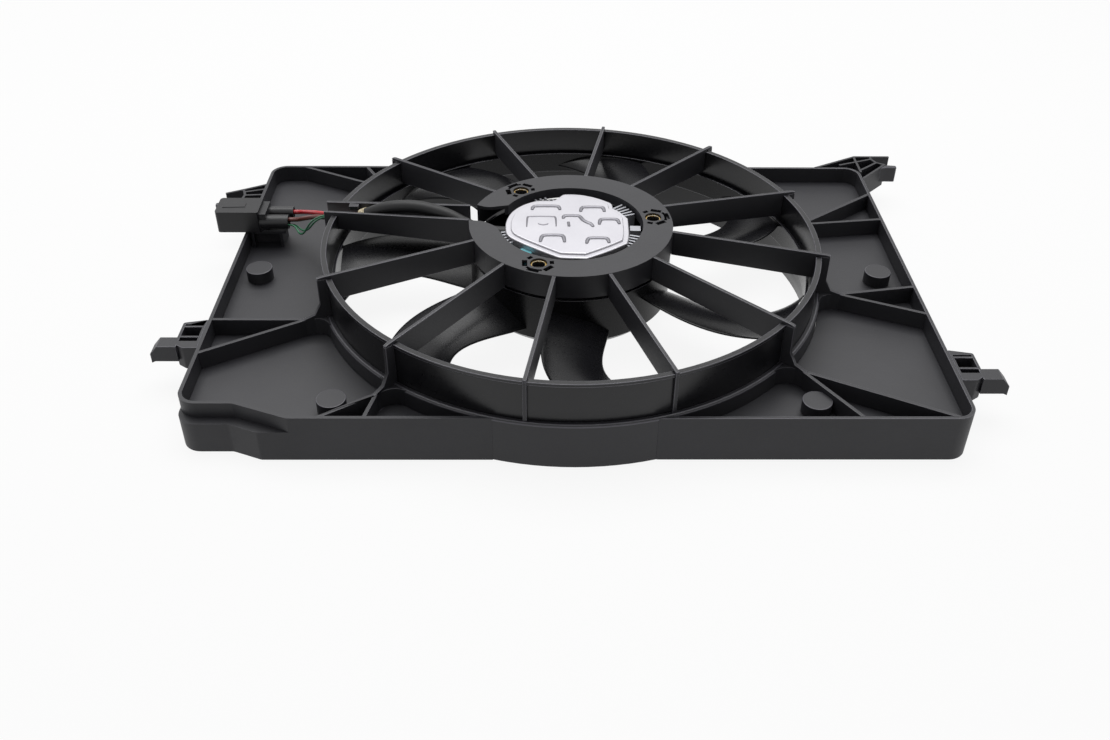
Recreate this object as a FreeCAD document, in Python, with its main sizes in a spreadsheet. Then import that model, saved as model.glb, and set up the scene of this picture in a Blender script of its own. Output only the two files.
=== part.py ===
import FreeCAD, Part
import math
import os
import Sketcher
from FreeCAD import Vector

# Radiator fan module: a rectangular moulded shroud with a round fan barrel, a ring on twelve
# spokes that carries a brushless outer-rotor motor, and a seven-blade banded fan.
# The shroud is one moulding. Its stretches are separate nodes that meet with a hairline gap.
# Frame: the fan axis is Z, pointing to the engine side. Z = 0 is the rim that faces the
# radiator core. X runs along the long side. All lengths are in millimetres.

SIZES = [
    # name, value, what it is
    ("tray_length", 578.4, "outside length of the perimeter wall along X"),
    ("tray_front", 201.1, "fan axis to the outside of the front wall"),
    ("tray_back", 190.3, "fan axis to the outside of the back wall"),
    ("tray_height", 39.1, "height of the perimeter wall and of the pocket ribs"),
    ("tray_wall", 2.8, "thickness of walls and pocket ribs"),
    ("tray_corner", 15, "outside corner radius of the perimeter wall"),
    ("floor_top", 24, "upper face of the tray floor"),
    ("floor_thickness", 2.5, "thickness of the tray floor"),
    ("collar_step", 4.6, "how far the collar stands out of the barrel"),
    ("recess_step", 26, "height where the front left recess gets deeper"),
    ("recess_upper", 17, "depth of the recess above the step"),
    ("recess_lower", 9.2, "depth of the recess below the step"),
    ("recess_end_upper", 247, "fan axis to the end of the upper recess along X"),
    ("recess_end_lower", 250, "fan axis to the end of the lower recess along X"),
    ("recess_ramp_upper", 42, "length of the ramp out of the upper recess"),
    ("recess_ramp_lower", 22, "length of the ramp out of the lower recess"),
    ("pad_radius", 11, "radius of the four round pads on the floor"),
    ("pad_top", 35, "upper face of the round pads"),
    ("moulding_gap", 0.1, "gap where two stretches of one moulding meet"),
    ("barrel_radius", 205, "outside radius of the fan barrel"),
    ("barrel_wall", 3.5, "wall of the fan barrel"),
    ("barrel_top", 73.3, "upper rim of the fan barrel"),
    ("barrel_lip", 1.2, "how far the bead at the barrel's rim stands out"),
    ("barrel_lip_height", 2.6, "height of that bead"),
    ("mouth_height", 14, "height of the tapered mouth at the radiator side"),
    ("mouth_depth", 2.2, "taper of that mouth"),
    ("spoke_thickness", 3, "thickness of spokes and posts"),
    ("spoke_hub_bottom", 62.5, "lower edge of a spoke at the motor ring"),
    ("spoke_rim_bottom", 53, "lower edge of a spoke at the barrel"),
    ("spoke_rim_top", 75.5, "upper edge of a spoke over the barrel's rim"),
    ("post_reach", 8, "how far a deep post stands out of the barrel"),
    ("post_reach_small", 2.4, "how far a shallow post stands out of the barrel"),
    ("post_foot", 15, "how far the curved foot of a post spreads"),
    ("ring_outer", 84.5, "outside radius of the motor ring"),
    ("ring_inner", 60, "inside radius of the motor ring"),
    ("ring_top", 84, "upper face of the motor ring"),
    ("ring_plate", 3, "thickness of the motor ring's top plate"),
    ("ring_wall", 2.6, "thickness of the motor ring's skirts"),
    ("ring_bottom", 64, "lower edge of the outer skirt"),
    ("ring_lip_bottom", 75, "lower edge of the inner skirt"),
    ("boss_circle", 69.5, "radius of the circle of the three screw bosses"),
    ("boss_radius", 8.2, "outside radius of a screw boss"),
    ("boss_recess", 6.8, "radius of the recess for a screw head"),
    ("boss_seat", 72, "height of the seat under a screw head"),
    ("screw_radius", 2.5, "radius of a motor screw"),
    ("screw_clearance", 0.4, "radial clearance of a motor screw in its bush"),
    ("bush_wall", 1.2, "wall of the metal bush in a screw boss"),
    ("base_top", 66, "upper face of the motor's base, which meets the bosses"),
    ("base_thickness", 5, "thickness of the motor's base"),
    ("base_radius", 58.5, "radius of the motor's base"),
    ("tube_outer", 14, "outside radius of the bearing tube"),
    ("bearing_radius", 11, "outside radius of a bearing"),
    ("bearing_width", 7, "width of a bearing"),
    ("bearing_seat_gap", 0.02, "radial clearance of a bearing in the tube"),
    ("tube_bottom", 25, "lower end of the bearing tube"),
    ("shaft_radius", 4, "radius of the motor shaft"),
    ("shaft_gap", 0.03, "radial running clearance of the shaft"),
    ("hub_radius", 84, "outside radius of the fan hub"),
    ("hub_bottom", 15, "radiator-side face of the fan hub"),
    ("hub_top", 61, "open edge of the fan hub"),
    ("hub_wall", 2.6, "wall of the fan hub"),
    ("hub_face", 3, "thickness of the fan hub's face"),
    ("hub_round", 7, "size of the tapered edge round the fan hub's face"),
    ("can_radius", 58, "outside radius of the rotor can"),
    ("can_wall", 2, "wall of the rotor can"),
    ("can_top", 54, "open edge of the rotor can"),
    ("can_floor", 2.5, "thickness of the rotor can's floor"),
    ("can_boss", 8, "outside radius of the rotor can's shaft boss"),
    ("magnet_thickness", 3.3, "radial thickness of a magnet"),
    ("magnet_bottom", 25, "lower face of the magnets"),
    ("magnet_height", 26, "height of a magnet"),
    ("air_gap", 0.8, "air gap between magnets and stator"),
    ("core_bottom", 31, "lower face of the stator core"),
    ("core_height", 18, "height of the stator core"),
    ("core_yoke", 21, "outside radius of the stator's yoke"),
    ("tooth_width", 6, "width of a stator tooth"),
    ("tooth_tip", 4, "radial depth of a tooth's tip"),
    ("coil_thickness", 2.6, "thickness of a coil round its tooth"),
    ("board_gap", 2, "height of the circuit board over the motor's base"),
    ("board_thickness", 1.6, "thickness of the circuit board"),
    ("cover_top", 83.5, "upper face of the electronics cover"),
    ("cover_wall", 2, "wall of the electronics cover"),
    ("gasket_thickness", 1, "thickness of the cover's gasket"),
    ("band_clearance", 2.5, "gap between the fan's band and the barrel's bore"),
    ("band_wall", 2.2, "wall of the fan's band"),
    ("band_bottom", 31, "lower edge of the fan's band"),
    ("band_top", 50, "upper edge of the fan's band"),
    ("blade_thickness", 3, "thickness of a blade at mid chord"),
    ("blade_edge", 1.4, "thickness of a blade at its edges"),
    ("channel_width_rim", 20, "width of the cable channel at the barrel"),
    ("channel_width_hub", 27, "width of the cable channel at the motor ring"),
    ("channel_floor", 60, "lower face of the cable channel"),
    ("lug_reach", 18.5, "how far a front lug stands out of the tray"),
    ("lug_depth", 38, "length of a front lug along Y"),
    ("lug_bottom", 19, "lower face of a lug"),
    ("lug_rib", 2.2, "thickness of a lug's ribs and walls"),
    ("ear_bottom", 17, "lower face of a rear ear"),
    ("jaw_bottom", 24, "lower edge of the jaw and the lip of a rear ear"),
    ("hook_reach", 19, "how far a front hook stands out of its lug"),
    ("hook_depth", 13, "length of a front hook along Y"),
    ("hook_height", 14, "height of a front hook"),
    ("plug_length", 38, "length of the connector's mating shell along X"),
    ("plug_width", 27, "width of the connector along Y"),
    ("plug_height", 20, "height of the connector"),
    ("plug_wall", 1.8, "wall of the connector's mating shell"),
    ("plug_x", 313, "fan axis to the connector's open face"),
    ("plug_y", 70.5, "fan axis to the middle of the connector along Y"),
    ("plug_bottom", 40.6, "lower face of the connector"),
    ("wire_radius", 2, "radius of a supply wire"),
    ("signal_radius", 0.8, "radius of a signal wire"),
    ("sheath_radius", 5.5, "radius of the cable sheath"),
]

BLADE_COUNT_ANGLES = [-90, -136.5, -187.3, -35.6, 17.5, 68, 118.6]
SPOKE_ANGLES = [20, 50, 80, 110, 140, 200, 230, 260, 290, 320, 350]
SHALLOW_POSTS = [80, 110, 260, 290]
SIDES = {"left": -1, "right": 1}
BOSS_ANGLES = [7.5, 127.5, -112.5]

doc = FreeCAD.newDocument("radiator_fan_shroud")
sheet = doc.addObject("Spreadsheet::Sheet", "Sizes")


class Size:
    """A length that knows its value and the sheet expression that gives it."""

    def __init__(self, value, text):
        self.value = float(value)
        self.text = text

    def __float__(self):
        return self.value

    def __add__(self, other):
        return Size(self.value + float(other), "(%s + %s)" % (self.text, text_of(other)))

    def __sub__(self, other):
        return Size(self.value - float(other), "(%s - %s)" % (self.text, text_of(other)))

    def __mul__(self, other):
        return Size(self.value * float(other), "(%s * %s)" % (self.text, text_of(other)))

    def __truediv__(self, other):
        return Size(self.value / float(other), "(%s / %s)" % (self.text, text_of(other)))

    def __neg__(self):
        return Size(-self.value, "(-%s)" % self.text)

    def __radd__(self, other):
        return self + other

    def __rsub__(self, other):
        return -self + other

    def __rmul__(self, other):
        return self * other


def text_of(value):
    """The expression text of a size, or of a plain number."""
    return value.text if isinstance(value, Size) else "%.6f" % float(value)


class Dimensions:
    """The sheet's cells as attributes."""


dim = Dimensions()
for row, (name, value, meaning) in enumerate(SIZES, start=1):
    sheet.set("A%d" % row, meaning)
    sheet.set("B%d" % row, str(value))
    sheet.setAlias("B%d" % row, name)
    setattr(dim, name, Size(value, "Sizes." + name))
dim.collar_radius = dim.barrel_radius + dim.collar_step
dim.band_radius = dim.barrel_radius - dim.barrel_wall - dim.band_clearance
doc.recompute()

NODES = []


# ---------------------------------------------------------------- helpers: PartDesign

def new_body(label):
    """A PartDesign body whose label names the node."""
    body = doc.addObject("PartDesign::Body", label)
    body.Label = label
    NODES.append(body)
    return body


def origin_feature(body, role):
    """One of the body's own origin planes or axes."""
    return [item for item in body.Origin.OriginFeatures if item.Role == role][0]


def bind(thing, prop, value):
    """Sets a property from a size and ties it to the sheet."""
    if isinstance(value, Size):
        thing.setExpression(prop, value.text)
    else:
        setattr(thing, prop, value)


def new_sketch(body, name, role="XY_Plane", height=None):
    """A sketch on an origin plane, raised to a height where one is given."""
    sketch = body.newObject("Sketcher::SketchObject", name)
    sketch.AttachmentSupport = [(origin_feature(body, role), "")]
    sketch.MapMode = "FlatFace"
    if height is not None:
        sketch.AttachmentOffset.Base.z = float(height)
        sketch.setExpression(".AttachmentOffset.Base.z", text_of(height))
    return sketch


def pin_vertex(sketch, item, point, axis, value):
    """Ties one coordinate of a vertex to a size, from the sketch's origin."""
    kind = "DistanceX" if axis == 0 else "DistanceY"
    if abs(float(value)) < 1e-9:
        rail = -2 if axis == 0 else -1
        sketch.addConstraint(Sketcher.Constraint("PointOnObject", item, point, rail))
        return
    if float(value) > 0:
        index = sketch.addConstraint(
            Sketcher.Constraint(kind, -1, 1, item, point, float(value)))
        text = text_of(value)
    else:
        index = sketch.addConstraint(
            Sketcher.Constraint(kind, item, point, -1, 1, -float(value)))
        text = "-(%s)" % text_of(value)
    sketch.setExpression("Constraints[%d]" % index, text)


def closed_profile(sketch, points):
    """A closed outline of straight edges whose corners are tied to sizes."""
    count = len(points)
    first = sketch.GeometryCount
    for index in range(count):
        start = points[index]
        end = points[(index + 1) % count]
        line = Part.LineSegment(
            Vector(start[0], start[1], 0), Vector(end[0], end[1], 0))
        sketch.addGeometry(line)
    for index in range(count):
        follower = first + (index + 1) % count
        sketch.addConstraint(
            Sketcher.Constraint("Coincident", first + index, 2, follower, 1))
    for index, point in enumerate(points):
        pin_vertex(sketch, first + index, 1, 0, point[0])
        pin_vertex(sketch, first + index, 1, 1, point[1])


def circle_profile(sketch, x, y, radius):
    """A circle whose centre and radius are tied to sizes."""
    item = sketch.addGeometry(Part.Circle(Vector(x, y, 0), Vector(0, 0, 1), float(radius)))
    index = sketch.addConstraint(Sketcher.Constraint("Radius", item, float(radius)))
    sketch.setExpression("Constraints[%d]" % index, text_of(radius))
    pin_vertex(sketch, item, 3, 0, x)
    pin_vertex(sketch, item, 3, 1, y)


def revolve(body, name, points):
    """Turns a profile of (radius, height) corners about the Z axis."""
    sketch = new_sketch(body, name + "_profile", "XZ_Plane")
    closed_profile(sketch, points)
    feature = body.newObject("PartDesign::Revolution", name)
    feature.Profile = sketch
    feature.ReferenceAxis = (sketch, ["V_Axis"])
    feature.Angle = 360
    return feature


def pad(body, name, bottom, height, draw):
    """Adds a prism from a height upwards; draw fills its sketch."""
    sketch = new_sketch(body, name + "_sketch", "XY_Plane", bottom)
    draw(sketch)
    feature = body.newObject("PartDesign::Pad", name)
    feature.Profile = sketch
    bind(feature, "Length", height)
    return feature


def pocket(body, name, bottom, height, draw):
    """Cuts a prism from a height upwards; draw fills its sketch."""
    sketch = new_sketch(body, name + "_sketch", "XY_Plane", bottom)
    draw(sketch)
    feature = body.newObject("PartDesign::Pocket", name)
    feature.Profile = sketch
    bind(feature, "Length", height)
    feature.Reversed = True
    return feature


def polar(body, feature, count):
    """Repeats the last feature round the Z axis."""
    pattern = body.newObject("PartDesign::PolarPattern", feature.Name + "_pattern")
    pattern.Originals = [feature]
    pattern.Axis = (origin_feature(body, "Z_Axis"), [""])
    pattern.Angle = 360
    pattern.Occurrences = count
    body.Tip = pattern
    return pattern


# ---------------------------------------------------------------- helpers: Part shapes

def new_part(label, shape):
    """A node whose shape is worked out from the sheet's sizes."""
    node = doc.addObject("Part::Feature", label)
    node.Label = label
    node.Shape = shape
    node.Placement = FreeCAD.Placement()
    NODES.append(node)
    return node


def rounded_wire(corners, height=0.0):
    """A closed wire through (x, y, radius) corners, rounded where a radius is given."""
    edges = []
    joints = []
    count = len(corners)
    for index in range(count):
        before = Vector(*[float(v) for v in corners[index - 1][:2]], 0)
        here = Vector(*[float(v) for v in corners[index][:2]], 0)
        after = Vector(*[float(v) for v in corners[(index + 1) % count][:2]], 0)
        radius = float(corners[index][2]) if len(corners[index]) > 2 else 0.0
        if radius == 0.0:
            joints.append((here, None, here))
            continue
        inward = (before - here).normalize()
        outward = (after - here).normalize()
        half = inward.getAngle(outward) / 2
        reach = radius / math.tan(half)
        middle = (inward + outward).normalize() * (radius / math.sin(half) - radius)
        joints.append((here + inward * reach, here + middle, here + outward * reach))
    for index in range(count):
        start, middle, end = joints[index]
        if middle is not None:
            edges.append(Part.Arc(start, middle, end).toShape())
        following = joints[(index + 1) % count][0]
        if (following - end).Length > 1e-6:
            edges.append(Part.LineSegment(end, following).toShape())
    wire = Part.Wire(edges)
    wire.translate(Vector(0, 0, height))
    return wire


def prism(corners, bottom, top):
    """A solid between two heights with a rounded outline."""
    face = Part.Face(rounded_wire(corners, float(bottom)))
    return face.extrude(Vector(0, 0, float(top) - float(bottom)))


def cylinder(radius, bottom, top, x=0.0, y=0.0):
    """A solid cylinder between two heights."""
    return Part.makeCylinder(float(radius), float(top) - float(bottom),
                             Vector(x, y, float(bottom)))


def tube(outer, inner, bottom, top, x=0.0, y=0.0):
    """A hollow cylinder between two heights."""
    return cylinder(outer, bottom, top, x, y).cut(cylinder(inner, bottom, top, x, y))


def hexagon(across, bottom, top, x, y):
    """A hexagonal prism, given by its width across the flats."""
    corners = [polar_point(across / math.sqrt(3), 60 * index) for index in range(6)]
    return prism([(x + corner.x, y + corner.y) for corner in corners], bottom, top)


def plate_between(start, end, thickness, bottom, top):
    """An upright plate along the line between two plan points."""
    start = Vector(start[0], start[1], 0)
    end = Vector(end[0], end[1], 0)
    side = Vector(start.y - end.y, end.x - start.x, 0).normalize() * (float(thickness) / 2)
    corners = [start + side, start - side, end - side, end + side]
    return prism([(c.x, c.y) for c in corners], bottom, top)


def radial_plate(profile, thickness, angle):
    """A plate in the (radius, height) plane, turned to an angle about Z."""
    points = [Vector(float(r), -float(thickness) / 2, float(z)) for r, z in profile]
    plate = Part.Face(Part.makePolygon(points + points[:1]))
    plate = plate.extrude(Vector(0, float(thickness), 0))
    plate.rotate(Vector(0, 0, 0), Vector(0, 0, 1), angle)
    return plate


def polar_point(radius, angle, height=0.0):
    """A point given by its radius and angle about the fan axis."""
    turn = math.radians(angle)
    return Vector(float(radius) * math.cos(turn), float(radius) * math.sin(turn), height)


def wire_tube(label, points, radius):
    """A round tube along straight runs joined by tangent arcs."""
    path = []
    cursor = points[0]
    for before, here, after in zip(points, points[1:], points[2:]):
        inward = (before - here)
        outward = (after - here)
        shorter = min(inward.Length, outward.Length)
        half_turn = (math.pi - inward.getAngle(outward)) / 2
        bend = 0.45 * shorter / math.tan(half_turn)
        reach = 0.45 * shorter
        start = here + inward.normalize() * reach
        end = here + outward.normalize() * reach
        middle = (inward + outward).normalize() * (bend / math.cos(half_turn) - bend)
        path.append(Part.LineSegment(cursor, start).toShape())
        path.append(Part.Arc(start, here + middle, end).toShape())
        print("%s bend radius %.1f" % (label, bend))
        cursor = end
    path.append(Part.LineSegment(cursor, points[-1]).toShape())
    spine = Part.Wire(path)
    heading = points[1] - points[0]
    section = Part.Wire(Part.makeCircle(float(radius), points[0], heading))
    solid = spine.makePipeShell([section], True, False)
    expected = math.pi * float(radius) ** 2 * spine.Length
    print("%s volume %.1f, section x length %.1f" % (label, solid.Volume, expected))
    return solid


# ---------------------------------------------------------------- shroud moulding

def tray_outline(inset, recess_depth, recess_end, recess_ramp):
    """The perimeter wall's outline, inset by a wall, with the front left recess."""
    half = dim.tray_length / 2 - inset
    front = -(dim.tray_front - inset)
    back = dim.tray_back - inset
    corner = max(float(dim.tray_corner) - float(inset), 4.0)
    recess = front + recess_depth
    soft = 6.0
    return [
        (half, front, corner), (half, back, corner), (-half, back, corner),
        (-half, recess, corner), (-recess_end, recess, soft),
        (-(recess_end - recess_ramp), front, soft),
    ]


RECESS_UPPER = (dim.recess_upper, dim.recess_end_upper, dim.recess_ramp_upper)
RECESS_LOWER = (dim.recess_lower, dim.recess_end_lower, dim.recess_ramp_lower)


def half_space(side):
    """A block that holds one half of the shroud, left or right of the fan axis."""
    block = Part.makeBox(400, 600, 200, Vector(0, -300, -50))
    return block if side > 0 else block.mirror(Vector(0, 0, 0), Vector(1, 0, 0))


def build_walls():
    """The perimeter wall, in two halves that end at the collar."""
    lower = prism(tray_outline(0, *RECESS_LOWER), 0, dim.recess_step)
    upper = prism(tray_outline(0, *RECESS_UPPER), dim.recess_step, dim.tray_height)
    hollow_top = prism(tray_outline(dim.tray_wall, *RECESS_UPPER),
                       dim.floor_top, dim.tray_height + 1)
    hollow_bottom = prism(tray_outline(dim.tray_wall, *RECESS_LOWER),
                          -1, dim.floor_top + dim.moulding_gap)
    wall = lower.fuse(upper).cut(hollow_top).cut(hollow_bottom)
    wall = wall.cut(cylinder(dim.collar_radius + dim.moulding_gap, -1, dim.tray_height + 1))
    for name, side in SIDES.items():
        new_part("end_wall_" + name, wall.common(half_space(side)).removeSplitter())


def build_floors():
    """The two wings of the tray's floor, each with a concave edge round the collar."""
    inset = dim.tray_wall + dim.moulding_gap
    floor = prism(tray_outline(inset, *RECESS_LOWER),
                  dim.floor_top - dim.floor_thickness, dim.floor_top)
    floor = floor.cut(cylinder(dim.collar_radius + dim.moulding_gap, 0, dim.tray_height))
    for name, side in SIDES.items():
        new_part("wing_floor_" + name, floor.common(half_space(side)).removeSplitter())


def build_collar():
    """The stepped collar round the foot of the barrel, which bulges out of both long sides."""
    body = new_body("barrel_collar")
    inner = dim.barrel_radius + dim.moulding_gap
    revolve(body, "collar", [
        (inner, 0), (dim.collar_radius, 0), (dim.collar_radius, dim.tray_height - 1.5),
        (dim.collar_radius - 1.5, dim.tray_height), (inner, dim.tray_height)])


def rib_forks():
    """Each deep post's angle with the two points where its ribs meet the perimeter wall."""
    side = float(dim.tray_length) / 2 + 0.8
    front = -float(dim.tray_front) - 0.9
    back = float(dim.tray_back) + 0.7
    return [
        (200, [(-side, -77), (-side, -124)]),
        (230, [(-187, front), (-151, front)]),
        (320, [(281, front), (208, front)]),
        (350, [(side, -27), (side, -69)]),
        (20, [(side, 137), (side, 87)]),
        (140, [(-262, back), (-198, back)]),
    ]


def rib_fork(angle, ends, thickness):
    """The two ribs that leave one deep post's foot, kept a hairline off that foot."""
    foot = dim.barrel_radius + dim.post_reach + dim.post_foot
    start = polar_point(foot - 3, angle)
    ribs = [plate_between((start.x, start.y), end, thickness, dim.floor_top, dim.tray_height)
            for end in ends]
    gap = dim.moulding_gap
    post = radial_plate([(foot - 12, 0), (foot + gap, 0), (foot + gap, 60), (foot - 12, 60)],
                        dim.spoke_thickness + 2 * gap, angle)
    return ribs[0].fuse(ribs[1]).cut(post)


def build_ribs():
    """Upright ribs that fork from the feet of the deep posts to the perimeter wall."""
    inside = prism(tray_outline(dim.tray_wall + dim.moulding_gap, *RECESS_UPPER),
                   dim.floor_top + dim.moulding_gap, dim.tray_height)
    forks = [rib_fork(angle, ends, dim.tray_wall).common(inside) for angle, ends in rib_forks()]
    new_part("pocket_ribs", Part.makeCompound(forks))


def build_pads():
    """Four round pads on the floor, kept clear of the ribs."""
    side = dim.tray_length / 2
    centres = [(-178, -173), (178, -175), (side - 24.2, 3), (22.2 - side, 7)]
    clear = [rib_fork(angle, ends, dim.tray_wall + 2 * dim.moulding_gap)
             for angle, ends in rib_forks()]
    pads = [cylinder(dim.pad_radius, dim.floor_top + dim.moulding_gap, dim.pad_top, x, y)
            for x, y in centres]
    new_part("floor_pads", Part.makeCompound([pad.cut(clear) for pad in pads]))


def build_barrel():
    """The round wall that the fan turns in, with a beaded rim and a notch for the cables."""
    body = new_body("fan_barrel")
    inner = dim.barrel_radius - dim.barrel_wall
    bead = dim.barrel_radius + dim.barrel_lip
    bead_bottom = dim.barrel_top - dim.barrel_lip_height
    revolve(body, "barrel_wall", [
        (inner + dim.mouth_depth, 0), (dim.barrel_radius, 0),
        (dim.barrel_radius, bead_bottom - dim.barrel_lip), (bead, bead_bottom),
        (bead, dim.barrel_top), (inner, dim.barrel_top), (inner, dim.mouth_height),
    ])
    front, back = channel_edges(dim.moulding_gap)
    reach = dim.barrel_radius + 12
    slope_front = (front[1] - front[0]) / (CHANNEL_HUB_X - CHANNEL_RIM_X)
    slope_back = (back[1] - back[0]) / (CHANNEL_HUB_X - CHANNEL_RIM_X)
    inside = dim.barrel_radius - 14

    def notch(sketch):
        outer_x = -reach
        inner_x = -inside
        run_outer = reach - CHANNEL_RIM_X
        run_inner = inside - CHANNEL_RIM_X
        closed_profile(sketch, [
            (outer_x, front[0] + slope_front * run_outer),
            (inner_x, front[0] + slope_front * run_inner),
            (inner_x, back[0] + slope_back * run_inner),
            (outer_x, back[0] + slope_back * run_outer),
        ])

    pocket(body, "cable_notch", dim.channel_floor - dim.moulding_gap,
           dim.barrel_top - dim.channel_floor + 5, notch)
    return body


def spoke_profile():
    """A spoke's side view: it falls from the motor ring to the barrel and laps its rim."""
    inner = dim.ring_outer + dim.moulding_gap
    wall_inner = dim.barrel_radius - dim.barrel_wall - dim.moulding_gap
    outer = dim.barrel_radius + dim.post_reach
    over_rim = dim.barrel_top + dim.moulding_gap
    return [
        (inner, dim.spoke_hub_bottom), (inner, dim.ring_top),
        (outer - 3, dim.spoke_rim_top), (outer, dim.spoke_rim_top - 0.8), (outer, over_rim),
        (wall_inner, over_rim), (wall_inner, dim.spoke_rim_bottom),
    ]


def build_spokes():
    """Eleven single spokes; the cable channel takes the twelfth place."""
    spokes = []
    for angle in SPOKE_ANGLES:
        profile = spoke_profile()
        if angle in SHALLOW_POSTS:
            outer = dim.barrel_radius + dim.post_reach_small
            profile[2:5] = [(outer, dim.spoke_rim_top), (outer, dim.barrel_top + dim.moulding_gap)]
        spokes.append(radial_plate(profile, dim.spoke_thickness, angle))
    return new_part("motor_spokes", Part.makeCompound(spokes))


def post_profile(deep):
    """A post's side view, from the tray's floor to just under the end of its spoke."""
    gap = dim.moulding_gap
    foot = dim.floor_top + gap
    top = dim.barrel_top - gap / 2
    bead = dim.barrel_radius + dim.barrel_lip + gap
    bead_low = dim.barrel_top - dim.barrel_lip_height - dim.barrel_lip - gap
    wall = dim.barrel_radius + gap
    collar = dim.collar_radius + gap
    over_collar = dim.tray_height + gap
    if not deep:
        face = dim.barrel_radius + dim.post_reach_small
        return [(wall, over_collar), (face, over_collar), (face, top), (bead, top),
                (bead, bead_low + dim.barrel_lip), (wall, bead_low)]
    face = dim.barrel_radius + dim.post_reach
    spread = face + dim.post_foot
    return [(collar, foot), (spread, foot), (spread, dim.tray_height),
            (face + dim.post_foot * 0.35, dim.tray_height + 3),
            (face, dim.tray_height + 12), (face, top), (bead, top),
            (bead, bead_low + dim.barrel_lip), (wall, bead_low), (wall, over_collar),
            (collar, over_collar)]


def build_posts():
    """Posts down the outside of the barrel, deep ones with a curved foot on the floor."""
    posts = []
    for angle in SPOKE_ANGLES:
        deep = angle not in SHALLOW_POSTS
        thickness = dim.spoke_thickness
        posts.append(radial_plate(post_profile(deep), thickness, angle))
    return new_part("barrel_posts", Part.makeCompound(posts))


def build_motor_ring():
    """The ring that carries the motor: a top plate with skirts and three screw bosses."""
    plate_bottom = dim.ring_top - dim.ring_plate
    ring = tube(dim.ring_outer, dim.ring_inner, plate_bottom, dim.ring_top)
    ring = ring.fuse([
        tube(dim.ring_outer, dim.ring_outer - dim.ring_wall, dim.ring_bottom, dim.ring_top),
        tube(dim.ring_inner + dim.ring_wall, dim.ring_inner, dim.ring_lip_bottom, dim.ring_top),
    ])
    opening = prism([
        (-100, 35), (-84.6, 31.8, 6), (-70, 25, 12), (-52, 29), (-30, 0), (-50, -24),
        (-58.5, -16, 5), (-62, -7, 14), (-73, 1.5, 14), (-85.4, 3.3, 6), (-100, 5.5),
    ], dim.ring_bottom - 1, dim.ring_top + 1)
    ring = ring.cut(opening)
    bush_outer = dim.screw_radius + dim.screw_clearance + dim.bush_wall
    for angle in BOSS_ANGLES:
        centre = polar_point(dim.boss_circle, angle)
        boss = cylinder(dim.boss_radius, dim.base_top, dim.ring_top, centre.x, centre.y)
        recess = cylinder(dim.boss_recess, dim.boss_seat, dim.ring_top + 1, centre.x, centre.y)
        bore = cylinder(bush_outer + dim.moulding_gap, dim.base_top - 1, dim.ring_top,
                        centre.x, centre.y)
        ring = ring.fuse(boss).cut(recess).cut(bore)
        for spread in (-62, -22, 22, 62):
            slot_centre = centre + polar_point(dim.boss_radius + 2.6, angle + spread)
            slot = Part.makeBox(2.4, 5.5, dim.ring_plate + 2,
                                Vector(-1.2, -2.75, float(plate_bottom) - 1))
            slot.rotate(Vector(0, 0, 0), Vector(0, 0, 1), angle + spread)
            slot.translate(slot_centre)
            ring = ring.cut(slot)
    return new_part("motor_ring", ring.removeSplitter())


# The channel's walls run a little skew to the radius, from the rim to the motor ring.
CHANNEL_RIM_X = 211
CHANNEL_HUB_X = 84.7
CHANNEL_RIM_Y = 32
CHANNEL_HUB_Y = 3.4


def channel_edges(gap):
    """Plan Y of the channel's outer faces, at the rim and at the motor ring."""
    front = (-gap + CHANNEL_RIM_Y, -gap + CHANNEL_HUB_Y)
    back = (dim.channel_width_rim + CHANNEL_RIM_Y + gap,
            dim.channel_width_hub + CHANNEL_HUB_Y + gap)
    return front, back


def build_channel():
    """An open channel for the motor lead, in the place of one spoke."""
    front, back = channel_edges(0.0)
    wall = dim.tray_wall
    rim_x = -float(CHANNEL_RIM_X)
    hub_x = -float(CHANNEL_HUB_X) - 0.4
    outline = [(rim_x, front[0]), (hub_x, front[1]), (hub_x, back[1]), (rim_x, back[0])]
    block = prism(outline, dim.channel_floor, dim.ring_top)
    inside = [(rim_x - 1, front[0] + wall), (hub_x + 1, front[1] + wall),
              (hub_x + 1, back[1] - wall), (rim_x - 1, back[0] - wall)]
    trough = prism(inside, dim.channel_floor + 2.4, dim.ring_top + 1)
    above = Part.makePolygon([
        Vector(rim_x - 1, 0, float(dim.spoke_rim_top)),
        Vector(hub_x + 1, 0, float(dim.ring_top)),
        Vector(hub_x + 1, 0, float(dim.ring_top) + 10),
        Vector(rim_x - 1, 0, float(dim.ring_top) + 10),
        Vector(rim_x - 1, 0, float(dim.spoke_rim_top)),
    ])
    slope = Part.Face(above).extrude(Vector(0, 80, 0))
    ring_clear = cylinder(dim.ring_outer + dim.moulding_gap, dim.channel_floor - 1,
                          dim.ring_top + 11)
    channel = block.cut(trough).cut(slope).cut(ring_clear)
    return new_part("cable_channel", channel.removeSplitter())


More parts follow.
